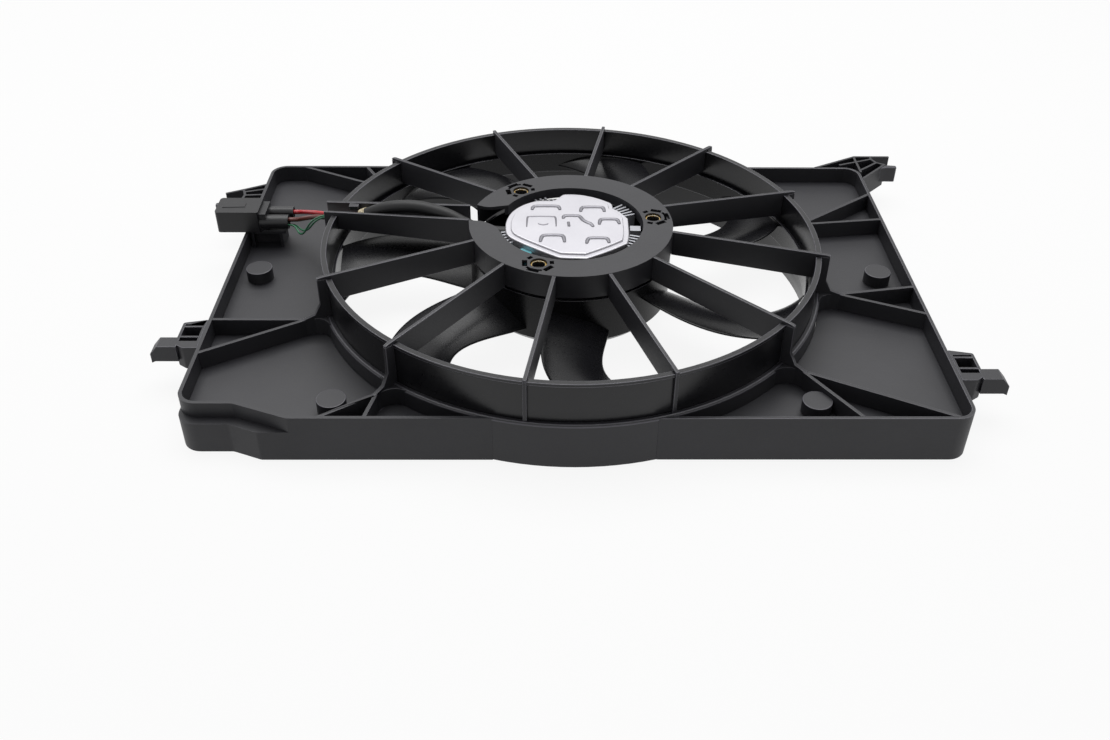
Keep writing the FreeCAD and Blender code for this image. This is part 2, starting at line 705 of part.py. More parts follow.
def front_lug(side, middle_y):
    """A ribbed box on the tray's side wall with a hook that drops into the radiator tank."""
    wall_x = dim.tray_length / 2 + dim.moulding_gap
    outer_x = dim.tray_length / 2 + dim.lug_reach
    back_y = middle_y + dim.lug_depth / 2
    front_y = middle_y - dim.lug_depth / 2
    rib = dim.lug_rib
    block = prism([(wall_x, back_y), (outer_x, back_y - 4, 2), (outer_x, front_y + 5, 3),
                   (outer_x - 7, front_y, 3), (wall_x, front_y)],
                  dim.lug_bottom, dim.tray_height)
    floor = dim.lug_bottom + rib
    cells_x = (wall_x + rib, outer_x - rib)
    marks = [back_y - 4 - rib, back_y - 8, back_y - 8 - rib, back_y - 24 + rib,
             back_y - 24, front_y + 7 + rib]
    for upper, lower in zip(marks[0::2], marks[1::2]):
        block = block.cut(prism([(cells_x[0], lower), (cells_x[1], lower),
                                 (cells_x[1], upper), (cells_x[0], upper)],
                                floor, dim.tray_height + 1))
    hook_top = dim.tray_height
    hook_low = dim.tray_height - dim.hook_height
    tip = outer_x + dim.hook_reach
    hook_front = back_y - 24 - dim.hook_depth
    profile = [Vector(outer_x - 2, hook_front, hook_top), Vector(tip - 6, hook_front, hook_top),
               Vector(tip, hook_front, hook_top - 7), Vector(tip, hook_front, hook_low - 1.5),
               Vector(tip - 3, hook_front, hook_low), Vector(outer_x - 2, hook_front, hook_low)]
    hook = Part.Face(Part.makePolygon(profile + profile[:1]))
    block = block.fuse(hook.extrude(Vector(0, float(dim.hook_depth), 0)))
    if side < 0:
        block = block.mirror(Vector(0, 0, 0), Vector(1, 0, 0))
    return block.removeSplitter()


def wall_along(points, bottom, top):
    """Thin upright walls that follow a line of plan points, rounded at its bends."""
    rib = dim.lug_rib
    walls = [plate_between(a, b, rib, bottom, top) for a, b in zip(points, points[1:])]
    return walls + [cylinder(rib / 2, bottom, top, x, y) for x, y in points[1:-1]]


def rear_lug(side, rim, saddle, front, jaw, lip, ribs):
    """A ribbed ear, open outwards round the radiator's pin; points start at the tray's corner."""
    base = dim.ear_bottom
    top = dim.tray_height
    walls = wall_along(rim + saddle + front, base, top)
    for line in ribs:
        walls += wall_along(line, base, top)
    walls += wall_along([rim[-1], jaw], dim.jaw_bottom, top)
    walls += wall_along([saddle[-1], lip], dim.jaw_bottom, top - 1)
    ear = prism(rim + saddle + front, base, base + dim.lug_rib).fuse(walls)
    if side < 0:
        ear = ear.mirror(Vector(0, 0, 0), Vector(1, 0, 0))
    ear.translate(Vector(side * float(dim.tray_length) / 2, float(dim.tray_back), 0))
    tray = prism(tray_outline(-dim.moulding_gap, *RECESS_UPPER), 0, top + 1)
    return ear.cut(tray).removeSplitter()


def build_lugs():
    """The four mounting lugs of the shroud."""
    new_part("lug_front_left", front_lug(-1, -97))
    new_part("lug_front_right", front_lug(1, -137))
    new_part("lug_rear_left", rear_lug(
        -1, rim=[(-2.2, -38.3), (19.3, -49.8)],
        saddle=[(17.4, -54.3), (15.6, -60.8), (16.8, -68.3), (25.3, -74.8)],
        front=[(-2.2, -98.3)], jaw=(34.3, -57.3), lip=(34.2, -78.3),
        ribs=[[(-1.2, -48.5), (17.4, -54.3)], [(-1.2, -59.5), (15.6, -60.8)],
              [(-1.2, -70.9), (16.8, -68.3)]]))
    new_part("lug_rear_right", rear_lug(
        1, rim=[(-45.2, -2.3), (1.8, 23.6), (18, 23.6)],
        saddle=[(17.4, 18.3), (21, 10.5), (28.3, 6.3)],
        front=[(-2.2, -25.7)], jaw=(36.8, 23.6), lip=(37, 2.9),
        ribs=[[(1.1, -10.3), (1.1, 22.7)], [(-17.2, 5.1), (17.4, 18.3)],
              [(1.1, -6.3), (21, 10.5)]]))


# ---------------------------------------------------------------- motor, standing parts

def build_motor_base():
    """Cast motor base: a disc with three ears, cooling fins and the bearing tube."""
    bottom = dim.base_top - dim.base_thickness
    base = cylinder(dim.base_radius, bottom, dim.base_top)
    for angle in BOSS_ANGLES:
        centre = polar_point(dim.boss_circle, angle)
        ear = cylinder(dim.boss_radius, bottom, dim.base_top, centre.x, centre.y)
        web = plate_between((centre.x * 0.7, centre.y * 0.7), (centre.x, centre.y),
                            dim.boss_radius * 2, bottom, dim.base_top)
        base = base.fuse([ear, web])
    for first, count in ((-148, 4), (-34, 4), (22, 3), (112, 3)):
        for index in range(count):
            angle = first + index * 4.5
            fin = radial_plate([(55.2, dim.base_top - 0.5), (58.4, dim.base_top - 0.5),
                                (58.4, dim.ring_top - 6), (55.2, dim.ring_top - 6)], 1.6, angle)
            base = base.fuse(fin)
    base = base.fuse(cylinder(dim.tube_outer, dim.tube_bottom, bottom))
    seat = dim.bearing_radius + dim.bearing_seat_gap
    lower_seat = dim.tube_bottom + dim.bearing_width
    upper_seat = dim.base_top - 1 - dim.bearing_width
    base = base.cut(cylinder(seat, dim.tube_bottom - 1, lower_seat))
    base = base.cut(cylinder(seat, upper_seat, dim.base_top - 1))
    base = base.cut(cylinder(dim.bearing_radius - 1.6, lower_seat - 1, upper_seat + 1))
    for angle in BOSS_ANGLES:
        centre = polar_point(dim.boss_circle, angle)
        base = base.cut(cylinder(dim.screw_radius + 0.02, bottom - 1, dim.base_top + 1,
                                 centre.x, centre.y))
    return new_part("motor_base", base.removeSplitter())


def build_bearings():
    """Two sealed ball bearings pressed into the base's tube."""
    bore = dim.shaft_radius + dim.shaft_gap
    places = [("bearing_front", dim.tube_bottom),
              ("bearing_rear", dim.base_top - 1 - dim.bearing_width)]
    for label, bottom in places:
        body = new_body(label)
        top = bottom + dim.bearing_width
        revolve(body, "races", [(bore, bottom), (dim.bearing_radius, bottom),
                                (dim.bearing_radius, top), (bore, top)])


def build_stator():
    """Laminated core with twelve teeth on the bearing tube, and a coil on each tooth."""
    bottom = dim.core_bottom
    top = dim.core_bottom + dim.core_height
    inner = dim.tube_outer + 0.05
    outer = dim.can_radius - dim.can_wall - dim.magnet_thickness - dim.air_gap - 0.1
    count = 12
    core = tube(dim.core_yoke, inner, bottom, top)
    rim = tube(outer, outer - dim.tooth_tip, bottom, top)
    for index in range(count):
        angle = index * 360 / count
        tooth = radial_plate([(dim.core_yoke - 1, bottom), (outer - 1, bottom),
                              (outer - 1, top), (dim.core_yoke - 1, top)],
                             dim.tooth_width, angle)
        core = core.fuse(tooth)
        slot = radial_plate([(outer - dim.tooth_tip - 1, bottom - 1), (outer + 1, bottom - 1),
                             (outer + 1, top + 1), (outer - dim.tooth_tip - 1, top + 1)],
                            2.5, angle + 180 / count)
        rim = rim.cut(slot)
    new_part("stator_core", core.fuse(rim).removeSplitter())
    gap = 0.15
    coils = []
    for index in range(count):
        angle = index * 360 / count
        near = dim.core_yoke + 2.5
        far = outer - dim.tooth_tip - 1
        low = bottom - dim.coil_thickness - gap
        high = top + dim.coil_thickness + gap
        width = dim.tooth_width + 2 * gap
        taper = 1.4
        block = radial_plate([(near + 4, low), (far, low), (far, high), (near + 4, high)],
                             width + 2 * (dim.coil_thickness - taper), angle)
        core_hole = radial_plate([(near, bottom - gap), (far + 1, bottom - gap),
                                  (far + 1, top + gap), (near, top + gap)], width, angle)
        coils.append(block.cut(core_hole))
    new_part("stator_coils", Part.makeCompound(coils))


COVER_OUTLINE = [
    (-9, 49.5, 6), (2, 50.5, 10), (19, 46, 10), (34, 38, 4), (40, 22, 4), (47.5, 9, 5),
    (47, -18, 6), (43, -33, 8), (28, -46, 6), (11, -56, 6), (-9, -54.5, 6), (-28, -42, 8),
    (-50, -25, 8), (-54.5, -10, 10), (-53, 6, 12), (-47, 24, 14), (-34, 38, 6), (-15, 40, 4),
]


def cover_outline(inset):
    """The electronics cover's outline, moved inwards."""
    corners = []
    for x, y, radius in COVER_OUTLINE:
        length = math.hypot(x, y)
        scale = (length - float(inset)) / length
        corners.append((x * scale, y * scale, max(radius - float(inset) * 0.5, 1.5)))
    return corners


def build_electronics():
    """Circuit board, its tall components, the gasket and the stamped aluminium cover."""
    board_bottom = dim.base_top + dim.board_gap
    board_top = board_bottom + dim.board_thickness
    board = prism(cover_outline(dim.cover_wall + 3), board_bottom, board_top)
    spots = [(-30, 20), (30, 20), (20, -34), (-24, -26)]
    for x, y in spots:
        board = board.cut(cylinder(1.7, board_bottom - 1, board_top + 1, x, y))
    new_part("circuit_board", board)
    posts = []
    for x, y in spots:
        foot = prism([(x - 2.5, y - 2.5), (x + 2.5, y - 2.5), (x + 2.5, y + 2.5),
                      (x - 2.5, y + 2.5)], dim.base_top, board_bottom)
        peg = prism([(x - 1, y - 1), (x + 1, y - 1), (x + 1, y + 1), (x - 1, y + 1)],
                    board_bottom, board_top + 1)
        posts.append(foot.fuse(peg))
    new_part("board_spacers", Part.makeCompound(posts))
    capacitors = []
    for x, y in ((-12, 22), (6, 24), (24, 4)):
        can = cylinder(6, board_top, board_top + 9.5, x, y)
        capacitors.append(can)
    new_part("capacitors", Part.makeCompound(capacitors))
    transistors = []
    for index in range(6):
        x = -25 + 9 * index
        chip = Part.makeBox(6, 7, 2.2, Vector(x, -16, float(board_top)))
        transistors.append(chip)
    new_part("power_transistors", Part.makeCompound(transistors))
    seat = dim.base_top + dim.gasket_thickness
    flange = prism(cover_outline(0), dim.base_top, seat)
    gasket = flange.cut(prism(cover_outline(dim.cover_wall + 1.2), dim.base_top - 1, seat + 1))
    new_part("cover_gasket", gasket)
    shell = prism(cover_outline(0), seat, dim.cover_top - 1.6)
    crown = prism(cover_outline(4), dim.cover_top - 1.6, dim.cover_top)
    hollow = prism(cover_outline(dim.cover_wall), seat - 1,
                   dim.cover_top - 1.6 - dim.cover_wall)
    cover = shell.fuse(crown).cut(hollow)
    new_part("electronics_cover", cover.removeSplitter())
    new_part("breather", cylinder(2.4, dim.base_top, dim.base_top + 9, -33, -46.8))


def build_motor_screws():
    """Three screws with flanged heads in metal bushes, from the ring into the base."""
    bushes = []
    screws = []
    bush_inner = dim.screw_radius + dim.screw_clearance
    bush_outer = bush_inner + dim.bush_wall
    for angle in BOSS_ANGLES:
        centre = polar_point(dim.boss_circle, angle)
        bushes.append(tube(bush_outer, bush_inner, dim.base_top, dim.boss_seat,
                           centre.x, centre.y))
        shank = cylinder(dim.screw_radius, dim.base_top - dim.base_thickness, dim.boss_seat,
                         centre.x, centre.y)
        flange = cylinder(5.6, dim.boss_seat, dim.boss_seat + 1.2, centre.x, centre.y)
        head = hexagon(8, dim.boss_seat + 1.2, dim.boss_seat + 6, centre.x, centre.y)
        screws.append(shank.fuse([flange, head]).removeSplitter())
    new_part("screw_bushes", Part.makeCompound(bushes))
    new_part("motor_screws", Part.makeCompound(screws))


# ---------------------------------------------------------------- fan and rotor

def build_hub():
    """The fan's hub: a deep cup with a tapered edge, open to the motor."""
    body = new_body("fan_hub")
    bottom = dim.hub_bottom
    inner = dim.hub_radius - dim.hub_wall
    bore = dim.can_boss + 4
    revolve(body, "cup", [
        (bore, bottom), (dim.hub_radius - dim.hub_round, bottom),
        (dim.hub_radius, bottom + dim.hub_round), (dim.hub_radius, dim.hub_top),
        (inner, dim.hub_top), (inner, bottom + dim.hub_round + 1),
        (inner - dim.hub_round + 1, bottom + dim.hub_face), (bore, bottom + dim.hub_face),
    ])
    half = 1.1

    def rib(sketch):
        closed_profile(sketch, [
            (dim.can_radius + 1.5, -half), (inner + 0.5, -half),
            (inner + 0.5, half), (dim.can_radius + 1.5, half)])

    feature = pad(body, "inner_rib", bottom + dim.hub_face - 0.2, 26, rib)
    polar(body, feature, 14)
    body.Tip = body.Group[-1]

    def screw_hole(sketch):
        circle_profile(sketch, dim.can_radius * 0.6, 0, dim.screw_radius + 0.1)

    hole = pocket(body, "screw_hole", bottom - 1, dim.hub_face + 2, screw_hole)
    polar(body, hole, 3)
    return body


def edge_point(radius, angle, lead):
    """A point on a blade's edge: lead True for the leading edge, False for the trailing."""
    root = float(dim.hub_radius)
    span = (radius - root) / (float(dim.band_radius) - float(dim.band_wall) - root)
    if lead:
        turn = 0.364 - 0.697 * span + 0.428 * span ** 2 + 0.332 * span ** 3
        height = 28.8 + 18.6 * span - 11 * span ** 2
    else:
        turn = -0.22 + 0.002 * span + 0.114 * span ** 2 + 0.11 * span ** 3
        height = 50.3 - 5.1 * span + 1.4 * span ** 2
    turn += math.radians(angle)
    return Vector(radius * math.cos(turn), radius * math.sin(turn), height)


def blade_section(radius, angle):
    """A cambered section of a blade, flat, between its edges at a radius."""
    lead = edge_point(radius, angle, True)
    trail = edge_point(radius, angle, False)
    middle = (lead + trail) / 2
    chord = trail - lead
    normal = Vector(middle.x, middle.y, 0).cross(chord).normalize()
    if normal.z < 0:
        normal = -normal
    edge = normal * (float(dim.blade_edge) / 2)
    body = normal * (float(dim.blade_thickness) / 2)
    crest = middle + normal * (0.06 * chord.Length)
    upper = Part.Arc(lead + edge, crest + body, trail + edge).toShape()
    back = Part.LineSegment(trail + edge, trail - edge).toShape()
    lower = Part.Arc(trail - edge, crest - body, lead - edge).toShape()
    front = Part.LineSegment(lead - edge, lead + edge).toShape()
    return Part.Wire([upper, back, lower, front])


def build_blades():
    """Seven swept blades, unevenly spaced to break up the fan's tone."""
    first = float(dim.hub_radius) - 4
    last = float(dim.band_radius) + 6
    stations = 7
    annulus = tube(dim.band_radius - dim.band_wall - dim.moulding_gap,
                   dim.hub_radius + dim.moulding_gap, 0, dim.hub_top)
    blades = []
    for angle in BLADE_COUNT_ANGLES:
        sections = []
        for index in range(stations):
            radius = first + (last - first) * index / (stations - 1)
            sections.append(blade_section(radius, angle))
        blades.append(Part.makeLoft(sections, True, True).common(annulus))
    return new_part("fan_blades", Part.makeCompound(blades))


def build_band():
    """The band that joins the blade tips."""
    body = new_body("fan_band")
    inner = dim.band_radius - dim.band_wall
    revolve(body, "band", [
        (inner, dim.band_bottom), (inner + 1, dim.band_bottom - 1.2),
        (dim.band_radius + 0.6, dim.band_bottom - 1.2), (dim.band_radius, dim.band_bottom + 1),
        (dim.band_radius, dim.band_top), (inner, dim.band_top),
    ])
    return body


def build_rotor():
    """Steel rotor can with its magnets and shaft, and the screws that hold the fan."""
    bottom = dim.hub_bottom + dim.hub_face
    can = new_body("rotor_can")
    inner = dim.can_radius - dim.can_wall
    revolve(can, "can", [
        (dim.shaft_radius, bottom), (dim.can_radius, bottom), (dim.can_radius, dim.can_top),
        (inner, dim.can_top), (inner, bottom + dim.can_floor),
        (dim.can_boss, bottom + dim.can_floor), (dim.can_boss, dim.tube_bottom - 1),
        (dim.shaft_radius, dim.tube_bottom - 1),
    ])

    def screw_hole(sketch):
        circle_profile(sketch, dim.can_radius * 0.6, 0, dim.screw_radius + 0.02)

    hole = pocket(can, "screw_hole", bottom - 1, dim.can_floor + 2, screw_hole)
    polar(can, hole, 3)
    magnets = []
    count = 10
    outer = inner - 0.05
    sweep = 360 / count - 3
    for index in range(count):
        block = Part.makeCylinder(float(outer), float(dim.magnet_height),
                                  Vector(0, 0, float(dim.magnet_bottom)),
                                  Vector(0, 0, 1), sweep)
        hole = cylinder(outer - dim.magnet_thickness, dim.magnet_bottom - 1,
                        dim.magnet_bottom + dim.magnet_height + 1)
        block = block.cut(hole)
        block.rotate(Vector(0, 0, 0), Vector(0, 0, 1), index * 360 / count)
        magnets.append(block)
    new_part("rotor_magnets", Part.makeCompound(magnets))
    shaft = new_body("motor_shaft")
    revolve(shaft, "shaft", [
        (0, bottom), (dim.shaft_radius, bottom), (dim.shaft_radius, dim.base_top - 1.6),
        (dim.shaft_radius - 0.6, dim.base_top - 1), (0, dim.base_top - 1),
    ])
    screws = []
    for index in range(3):
        centre = polar_point(dim.can_radius * 0.6, index * 120)
        shank = cylinder(dim.screw_radius, dim.hub_bottom, bottom + dim.can_floor,
                         centre.x, centre.y)
        head = hexagon(8, dim.hub_bottom - 3, dim.hub_bottom, centre.x, centre.y)
        screws.append(shank.fuse(head).removeSplitter())
    new_part("fan_screws", Part.makeCompound(screws))


# ---------------------------------------------------------------- lead and connector

# End X, centre Y and Z, radius and hole radius of the two sleeves that hold the wires.
SLEEVES = [(-247.5, 77, 50.2, 5, 3.6), (-250, 63.4, 48, 6.3, 4.6)]
SLEEVE_DEPTH = 8.0


def build_connector():
    """Four-way connector on a bracket at the tray's left wall."""
    half_y = dim.plug_width / 2
    left = -dim.plug_x
    right = left + dim.plug_length
    top = dim.plug_bottom + dim.plug_height
    low_y = dim.plug_y - half_y
    high_y = dim.plug_y + half_y
    shell = prism([(left, low_y, 3), (right, low_y, 1), (right, high_y, 1), (left, high_y, 3)],
                  dim.plug_bottom, top)
    wall = dim.plug_wall
    mouth = Part.makeBox(float(dim.plug_length) - 8, float(dim.plug_width - 2 * wall),
                         float(dim.plug_height - 2 * wall),
                         Vector(float(left) - 1, float(low_y + wall),
                                float(dim.plug_bottom + wall)))
    flange = prism([(right - 0.5, low_y + 1.5), (right + 6, low_y + 1.5),
                    (right + 6, high_y - 1.5), (right - 0.5, high_y - 1.5)],
                   dim.plug_bottom + 1.6, top - 2.6)
    housing = shell.cut(mouth).fuse(flange)
    along = Vector(1, 0, 0)
    seals = []
    for end, y, z, radius, hole in SLEEVES:
        root = Vector(float(right), y, z)
        length = end - root.x
        housing = housing.fuse(Part.makeCylinder(radius, length, root, along))
        depth = Vector(end - SLEEVE_DEPTH, y, z)
        housing = housing.cut(Part.makeCylinder(hole, SLEEVE_DEPTH + 1, depth, along))
        seals.append(Part.makeCylinder(hole - 0.05, 3, depth + along * 0.05, along))
    new_part("connector_seal", Part.makeCompound(seals))
    pin_z = float(dim.plug_bottom) + 9.4
    pin_rows = [-7.5, -2.5, 2.5, 7.5]
    for offset in pin_rows:
        channel = Part.makeCylinder(1.3, 28, Vector(float(left) + 15, float(dim.plug_y) + offset,
                                                    pin_z), along)
        housing = housing.cut(channel)
    new_part("connector_housing", housing.removeSplitter())
    terminals = []
    for offset in pin_rows:
        y = float(dim.plug_y) + offset
        blade = Part.makeBox(32, 2, 0.8, Vector(float(left) + 9, y - 1, pin_z - 0.4))
        terminals.append(blade)
    new_part("connector_terminals", Part.makeCompound(terminals))
    foot = dim.floor_top
    bracket = prism([(right - 10.5, low_y + 3), (right + 22, low_y + 3),
                     (right + 22, high_y - 3), (right - 10.5, high_y - 3)],
                    dim.plug_bottom - 3, dim.plug_bottom)
    legs = [prism([(x, low_y + 3), (x + 2.6, low_y + 3), (x + 2.6, high_y - 3),
                   (x, high_y - 3)], foot, dim.plug_bottom - 2.5)
            for x in (right - 10, right + 16)]
    web = prism([(right - 8, dim.plug_y - 1.3), (right + 17, dim.plug_y - 1.3),
                 (right + 17, dim.plug_y + 1.3), (right - 8, dim.plug_y + 1.3)],
                foot, dim.plug_bottom - 2.5)
    new_part("connector_bracket", bracket.fuse(legs + [web]).removeSplitter())
    latch_x = left + 5
    latch_z = top + dim.moulding_gap
    latch_y = float(dim.plug_y) - 4.5
    latch = [Vector(latch_x + x, latch_y, latch_z + z)
             for x, z in [(0, 0), (20, 0), (20, 3.4), (13, 3.4), (11, 1.8), (0, 1.8)]]
    lock = Part.Face(Part.makePolygon(latch + latch[:1])).extrude(Vector(0, 9, 0))
    new_part("connector_lock", lock)


def build_lead():
    """Wires from the connector to the sheath, which arches along the channel to the motor."""
    upper_end, lower_end = [sleeve[0] - SLEEVE_DEPTH + 3.1 for sleeve in SLEEVES]
    entry = Vector(-180, 36, 68.5)
    rise = Vector(-157, 31.3, 80.5)
    sheath = wire_tube("cable_sheath", [
        entry, rise, Vector(-130, 26, 84.6), Vector(-104, 20.7, 79.5),
        Vector(-84, 14.5, 71), Vector(-70, 4.5, 71.9), Vector(-54.6, 3, 71.9)],
        dim.sheath_radius)
    new_part("cable_sheath", sheath)
    heading = (rise - entry).normalize()
    wrap = Part.makeCylinder(float(dim.sheath_radius) + 0.7, 6, entry + heading, heading)
    core = Part.makeCylinder(float(dim.sheath_radius) + 0.05, 8, entry, heading)
    new_part("cable_tape", wrap.cut(core))
    red = wire_tube("supply_wire_red", [
        Vector(upper_end, 77, 50.2), Vector(-240, 77, 50.2), Vector(-221, 51, 64),
        Vector(-204, 42.7, 66.4), Vector(-181.2, 37.8, 70.2)], dim.wire_radius)
    new_part("supply_wire_red", red)
    brown = wire_tube("supply_wire_brown", [
        Vector(lower_end, 64.6, 49.4), Vector(-242, 64.6, 49.4), Vector(-221, 45, 63.8),
        Vector(-204, 38, 65.6), Vector(-181.2, 34.2, 66.9)], dim.wire_radius)
    new_part("supply_wire_brown", brown)
    upper = wire_tube("signal_wire_upper", [
        Vector(lower_end, 61, 46), Vector(-245, 61, 46), Vector(-236, 44, 43.5),
        Vector(-220, 36.5, 69.5), Vector(-183.2, 34.6, 72.2)], dim.signal_radius)
    lower = wire_tube("signal_wire_lower", [
        Vector(lower_end, 64, 44.8), Vector(-245, 64, 44.8), Vector(-233, 48, 45.5),
        Vector(-216, 38.5, 68), Vector(-182.8, 32.6, 70.4)], dim.signal_radius)
    new_part("signal_wires", Part.makeCompound([upper, lower]))
    clip_y = 44.3
    clip = prism([(-190, clip_y - 6), (-182, clip_y - 6, 1), (-182, clip_y - 1.5),
                  (-190, clip_y)], 73.4, 77.4)
    new_part("cable_clip", clip)


# ---------------------------------------------------------------- build and export

build_walls()
build_floors()
build_collar()
build_ribs()
build_pads()
build_barrel()
build_spokes()
build_posts()
build_motor_ring()
build_channel()
build_lugs()
build_motor_base()
build_bearings()
build_stator()
build_electronics()
build_motor_screws()
build_hub()
build_blades()
build_band()
build_rotor()
build_connector()
build_lead()
doc.recompute()

for item in doc.Objects:
    if "Invalid" in item.State or "Error" in item.State:
        raise RuntimeError("%s is %s" % (item.Name, item.State))
for node in NODES:
    if node.Shape.isNull() or not node.Shape.isValid():
        raise RuntimeError("%s has no valid shape" % node.Label)

os.makedirs("parts", exist_ok=True)
for node in NODES:
    node.Shape.exportStep("parts/%s.step" % node.Label)
    print("%-22s solids %2d volume %10.1f" % (
        node.Label, len(node.Shape.Solids), node.Shape.Volume))
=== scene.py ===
import math

import bmesh
import bpy
from mathutils import Matrix, Vector


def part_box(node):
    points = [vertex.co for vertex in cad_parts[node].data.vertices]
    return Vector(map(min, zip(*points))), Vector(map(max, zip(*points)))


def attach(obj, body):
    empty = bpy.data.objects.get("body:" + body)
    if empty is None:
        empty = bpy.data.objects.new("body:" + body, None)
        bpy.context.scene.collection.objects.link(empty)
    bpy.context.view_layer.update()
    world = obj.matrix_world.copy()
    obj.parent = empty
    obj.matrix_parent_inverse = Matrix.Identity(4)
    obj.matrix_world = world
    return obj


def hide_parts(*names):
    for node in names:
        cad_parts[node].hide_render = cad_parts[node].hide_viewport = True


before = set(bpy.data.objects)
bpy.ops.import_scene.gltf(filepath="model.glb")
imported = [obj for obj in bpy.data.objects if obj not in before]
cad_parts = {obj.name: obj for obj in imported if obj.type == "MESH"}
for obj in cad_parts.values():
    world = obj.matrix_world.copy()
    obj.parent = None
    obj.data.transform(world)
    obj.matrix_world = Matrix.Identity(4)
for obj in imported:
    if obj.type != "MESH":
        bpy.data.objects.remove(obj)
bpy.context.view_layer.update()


# ---------------------------------------------------------------- perimeter walls
# The shroud is one injection moulding in black glass-filled nylon. Its perimeter wall stands
# round both wings; the tool's small radii carry a thin pale line along every top edge, a
# painted highlight where light catches them.

def linear(code):
    """An sRGB hex colour as linear values."""
    channels = [int(code[index:index + 2], 16) / 255 for index in (1, 3, 5)]
    return tuple(c / 12.92 if c <= 0.04045 else ((c + 0.055) / 1.055) ** 2.4
                 for c in channels) + (1.0,)


def add_node(material, kind, settings=None, links=None):
    """Adds a node, sets its sockets or properties and links its inputs."""
    node = material.node_tree.nodes.new(kind)
    for key, value in (settings or {}).items():
        if isinstance(key, int) or key in node.inputs:
            node.inputs[key].default_value = value
        else:
            setattr(node, key, value)
    for key, source in (links or {}).items():
        material.node_tree.links.new(source, node.inputs[key])
    return node


def new_material(name):
    """A material with an empty node tree."""
    material = bpy.data.materials.new(name)
    material.use_nodes = True
    material.node_tree.nodes.clear()
    return material


def moulded_plastic(name, dark, light, roughness, grain_mm, grain_depth_mm, gloss=0.5):
    """Moulded plastic: cloudy flow tone, the tool's fine grain, and faint rubbed streaks."""
    cloud_mm = 70
    streak_stretch = (9.0, 60.0, 40.0)
    streak_shine = 0.045
    material = new_material(name)
    place = add_node(material, "ShaderNodeTexCoord").outputs["Object"]
    cloud = add_node(material, "ShaderNodeTexNoise",
                     {"Scale": 1000 / cloud_mm, "Detail": 4.0, "Roughness": 0.6},
                     {"Vector": place})
    flow = add_node(material, "ShaderNodeMapRange",
                    {"From Min": 0.3, "From Max": 0.7}, {"Value": cloud.outputs["Fac"]})
    tone = add_node(material, "ShaderNodeMix",
                    {"data_type": "RGBA", 6: linear(dark), 7: linear(light)},
                    {0: flow.outputs["Result"]}).outputs[2]
    grain = add_node(material, "ShaderNodeTexNoise",
                     {"Scale": 1000 / grain_mm, "Detail": 2.0, "Roughness": 0.6},
                     {"Vector": place})
    drawn = add_node(material, "ShaderNodeMapping", {"Scale": streak_stretch},
                     {"Vector": place})
    streak = add_node(material, "ShaderNodeTexNoise",
                      {"Scale": 9.0, "Detail": 5.0, "Roughness": 0.7},
                      {"Vector": drawn.outputs["Vector"]})
    rubbed = add_node(material, "ShaderNodeMapRange",
                      {"From Min": 0.56, "From Max": 0.72, "To Min": 0.0,
                       "To Max": streak_shine}, {"Value": streak.outputs["Fac"]})
    rough = add_node(material, "ShaderNodeMapRange",
                     {"To Min": roughness - 0.06, "To Max": roughness + 0.08},
                     {"Value": grain.outputs["Fac"]})
    rough = add_node(material, "ShaderNodeMath", {"operation": "SUBTRACT"},
                     {0: rough.outputs["Result"], 1: rubbed.outputs["Result"]})
    bump = add_node(material, "ShaderNodeBump",
                    {"Strength": 0.6, "Distance": grain_depth_mm / 1000},
                    {"Height": grain.outputs["Fac"]})
    shader = add_node(material, "ShaderNodeBsdfPrincipled",
                      {"IOR": 1.5, "Specular IOR Level": gloss},
                      {"Base Color": tone, "Roughness": rough.outputs["Value"],
                       "Normal": bump.outputs["Normal"]})
    add_node(material, "ShaderNodeOutputMaterial", links={"Surface": shader.outputs["BSDF"]})
    return material


def finished_piece(shape, name, radius_mm, body, finishes, crease=32):
    """An object of a bmesh with its outer edges rounded and its faces shaded evenly."""
    weight = shape.edges.layers.float.new("bevel_weight_edge")
    for edge in shape.edges:
        if len(edge.link_faces) == 2 and edge.calc_face_angle() > math.radians(crease):
            if edge.is_convex and radius_mm:
                edge[weight] = 1.0
            else:
                edge.smooth = False
    for face in shape.faces:
        face.smooth = True
        face.material_index = 0
    mesh = bpy.data.meshes.new(name)
    shape.to_mesh(mesh)
    shape.free()
    for finish in finishes:
        mesh.materials.append(finish)
    piece = bpy.data.objects.new(name, mesh)
    bpy.context.scene.collection.objects.link(piece)
    if radius_mm:
        edge = piece.modifiers.new("edge_radius", "BEVEL")
        edge.width = radius_mm / 1000
        edge.segments = 2
        edge.limit_method = "WEIGHT"
        edge.use_clamp_overlap = True
        # The rounded edges take the last finish; where that one is paler, it is a painted
        # highlight along the edges.
        edge.material = len(finishes) - 1
    shade = piece.modifiers.new("flat_faces", "WEIGHTED_NORMAL")
    shade.keep_sharp = True
    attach(piece, body)
    return piece


def merged_copy(node):
    """A CAD node's mesh with its triangles joined into whole faces."""
    weld_metres = 0.00002
    flat_degrees = 0.6
    shape = bmesh.new()
    shape.from_mesh(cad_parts[node].data)
    bmesh.ops.remove_doubles(shape, verts=shape.verts, dist=weld_metres)
    bmesh.ops.dissolve_limit(shape, angle_limit=math.radians(flat_degrees),
                             verts=shape.verts, edges=shape.edges,
                             use_dissolve_boundaries=False, delimit=set())
    return shape


def rounded(node, name, radius_mm, body, finishes, crease=32):
    """A copy of a CAD node with its outer edges rounded, which stands for that node."""
    piece = finished_piece(merged_copy(node), name, radius_mm, body, finishes, crease)
    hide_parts(node)
    return piece


# Glass-filled nylon from a finely textured tool: satin black, greyer where it faces the light.
nylon = moulded_plastic("glass_filled_nylon", "#1b1b1f", "#242428", 0.5, 1.6, 0.05,
                        gloss=0.45)
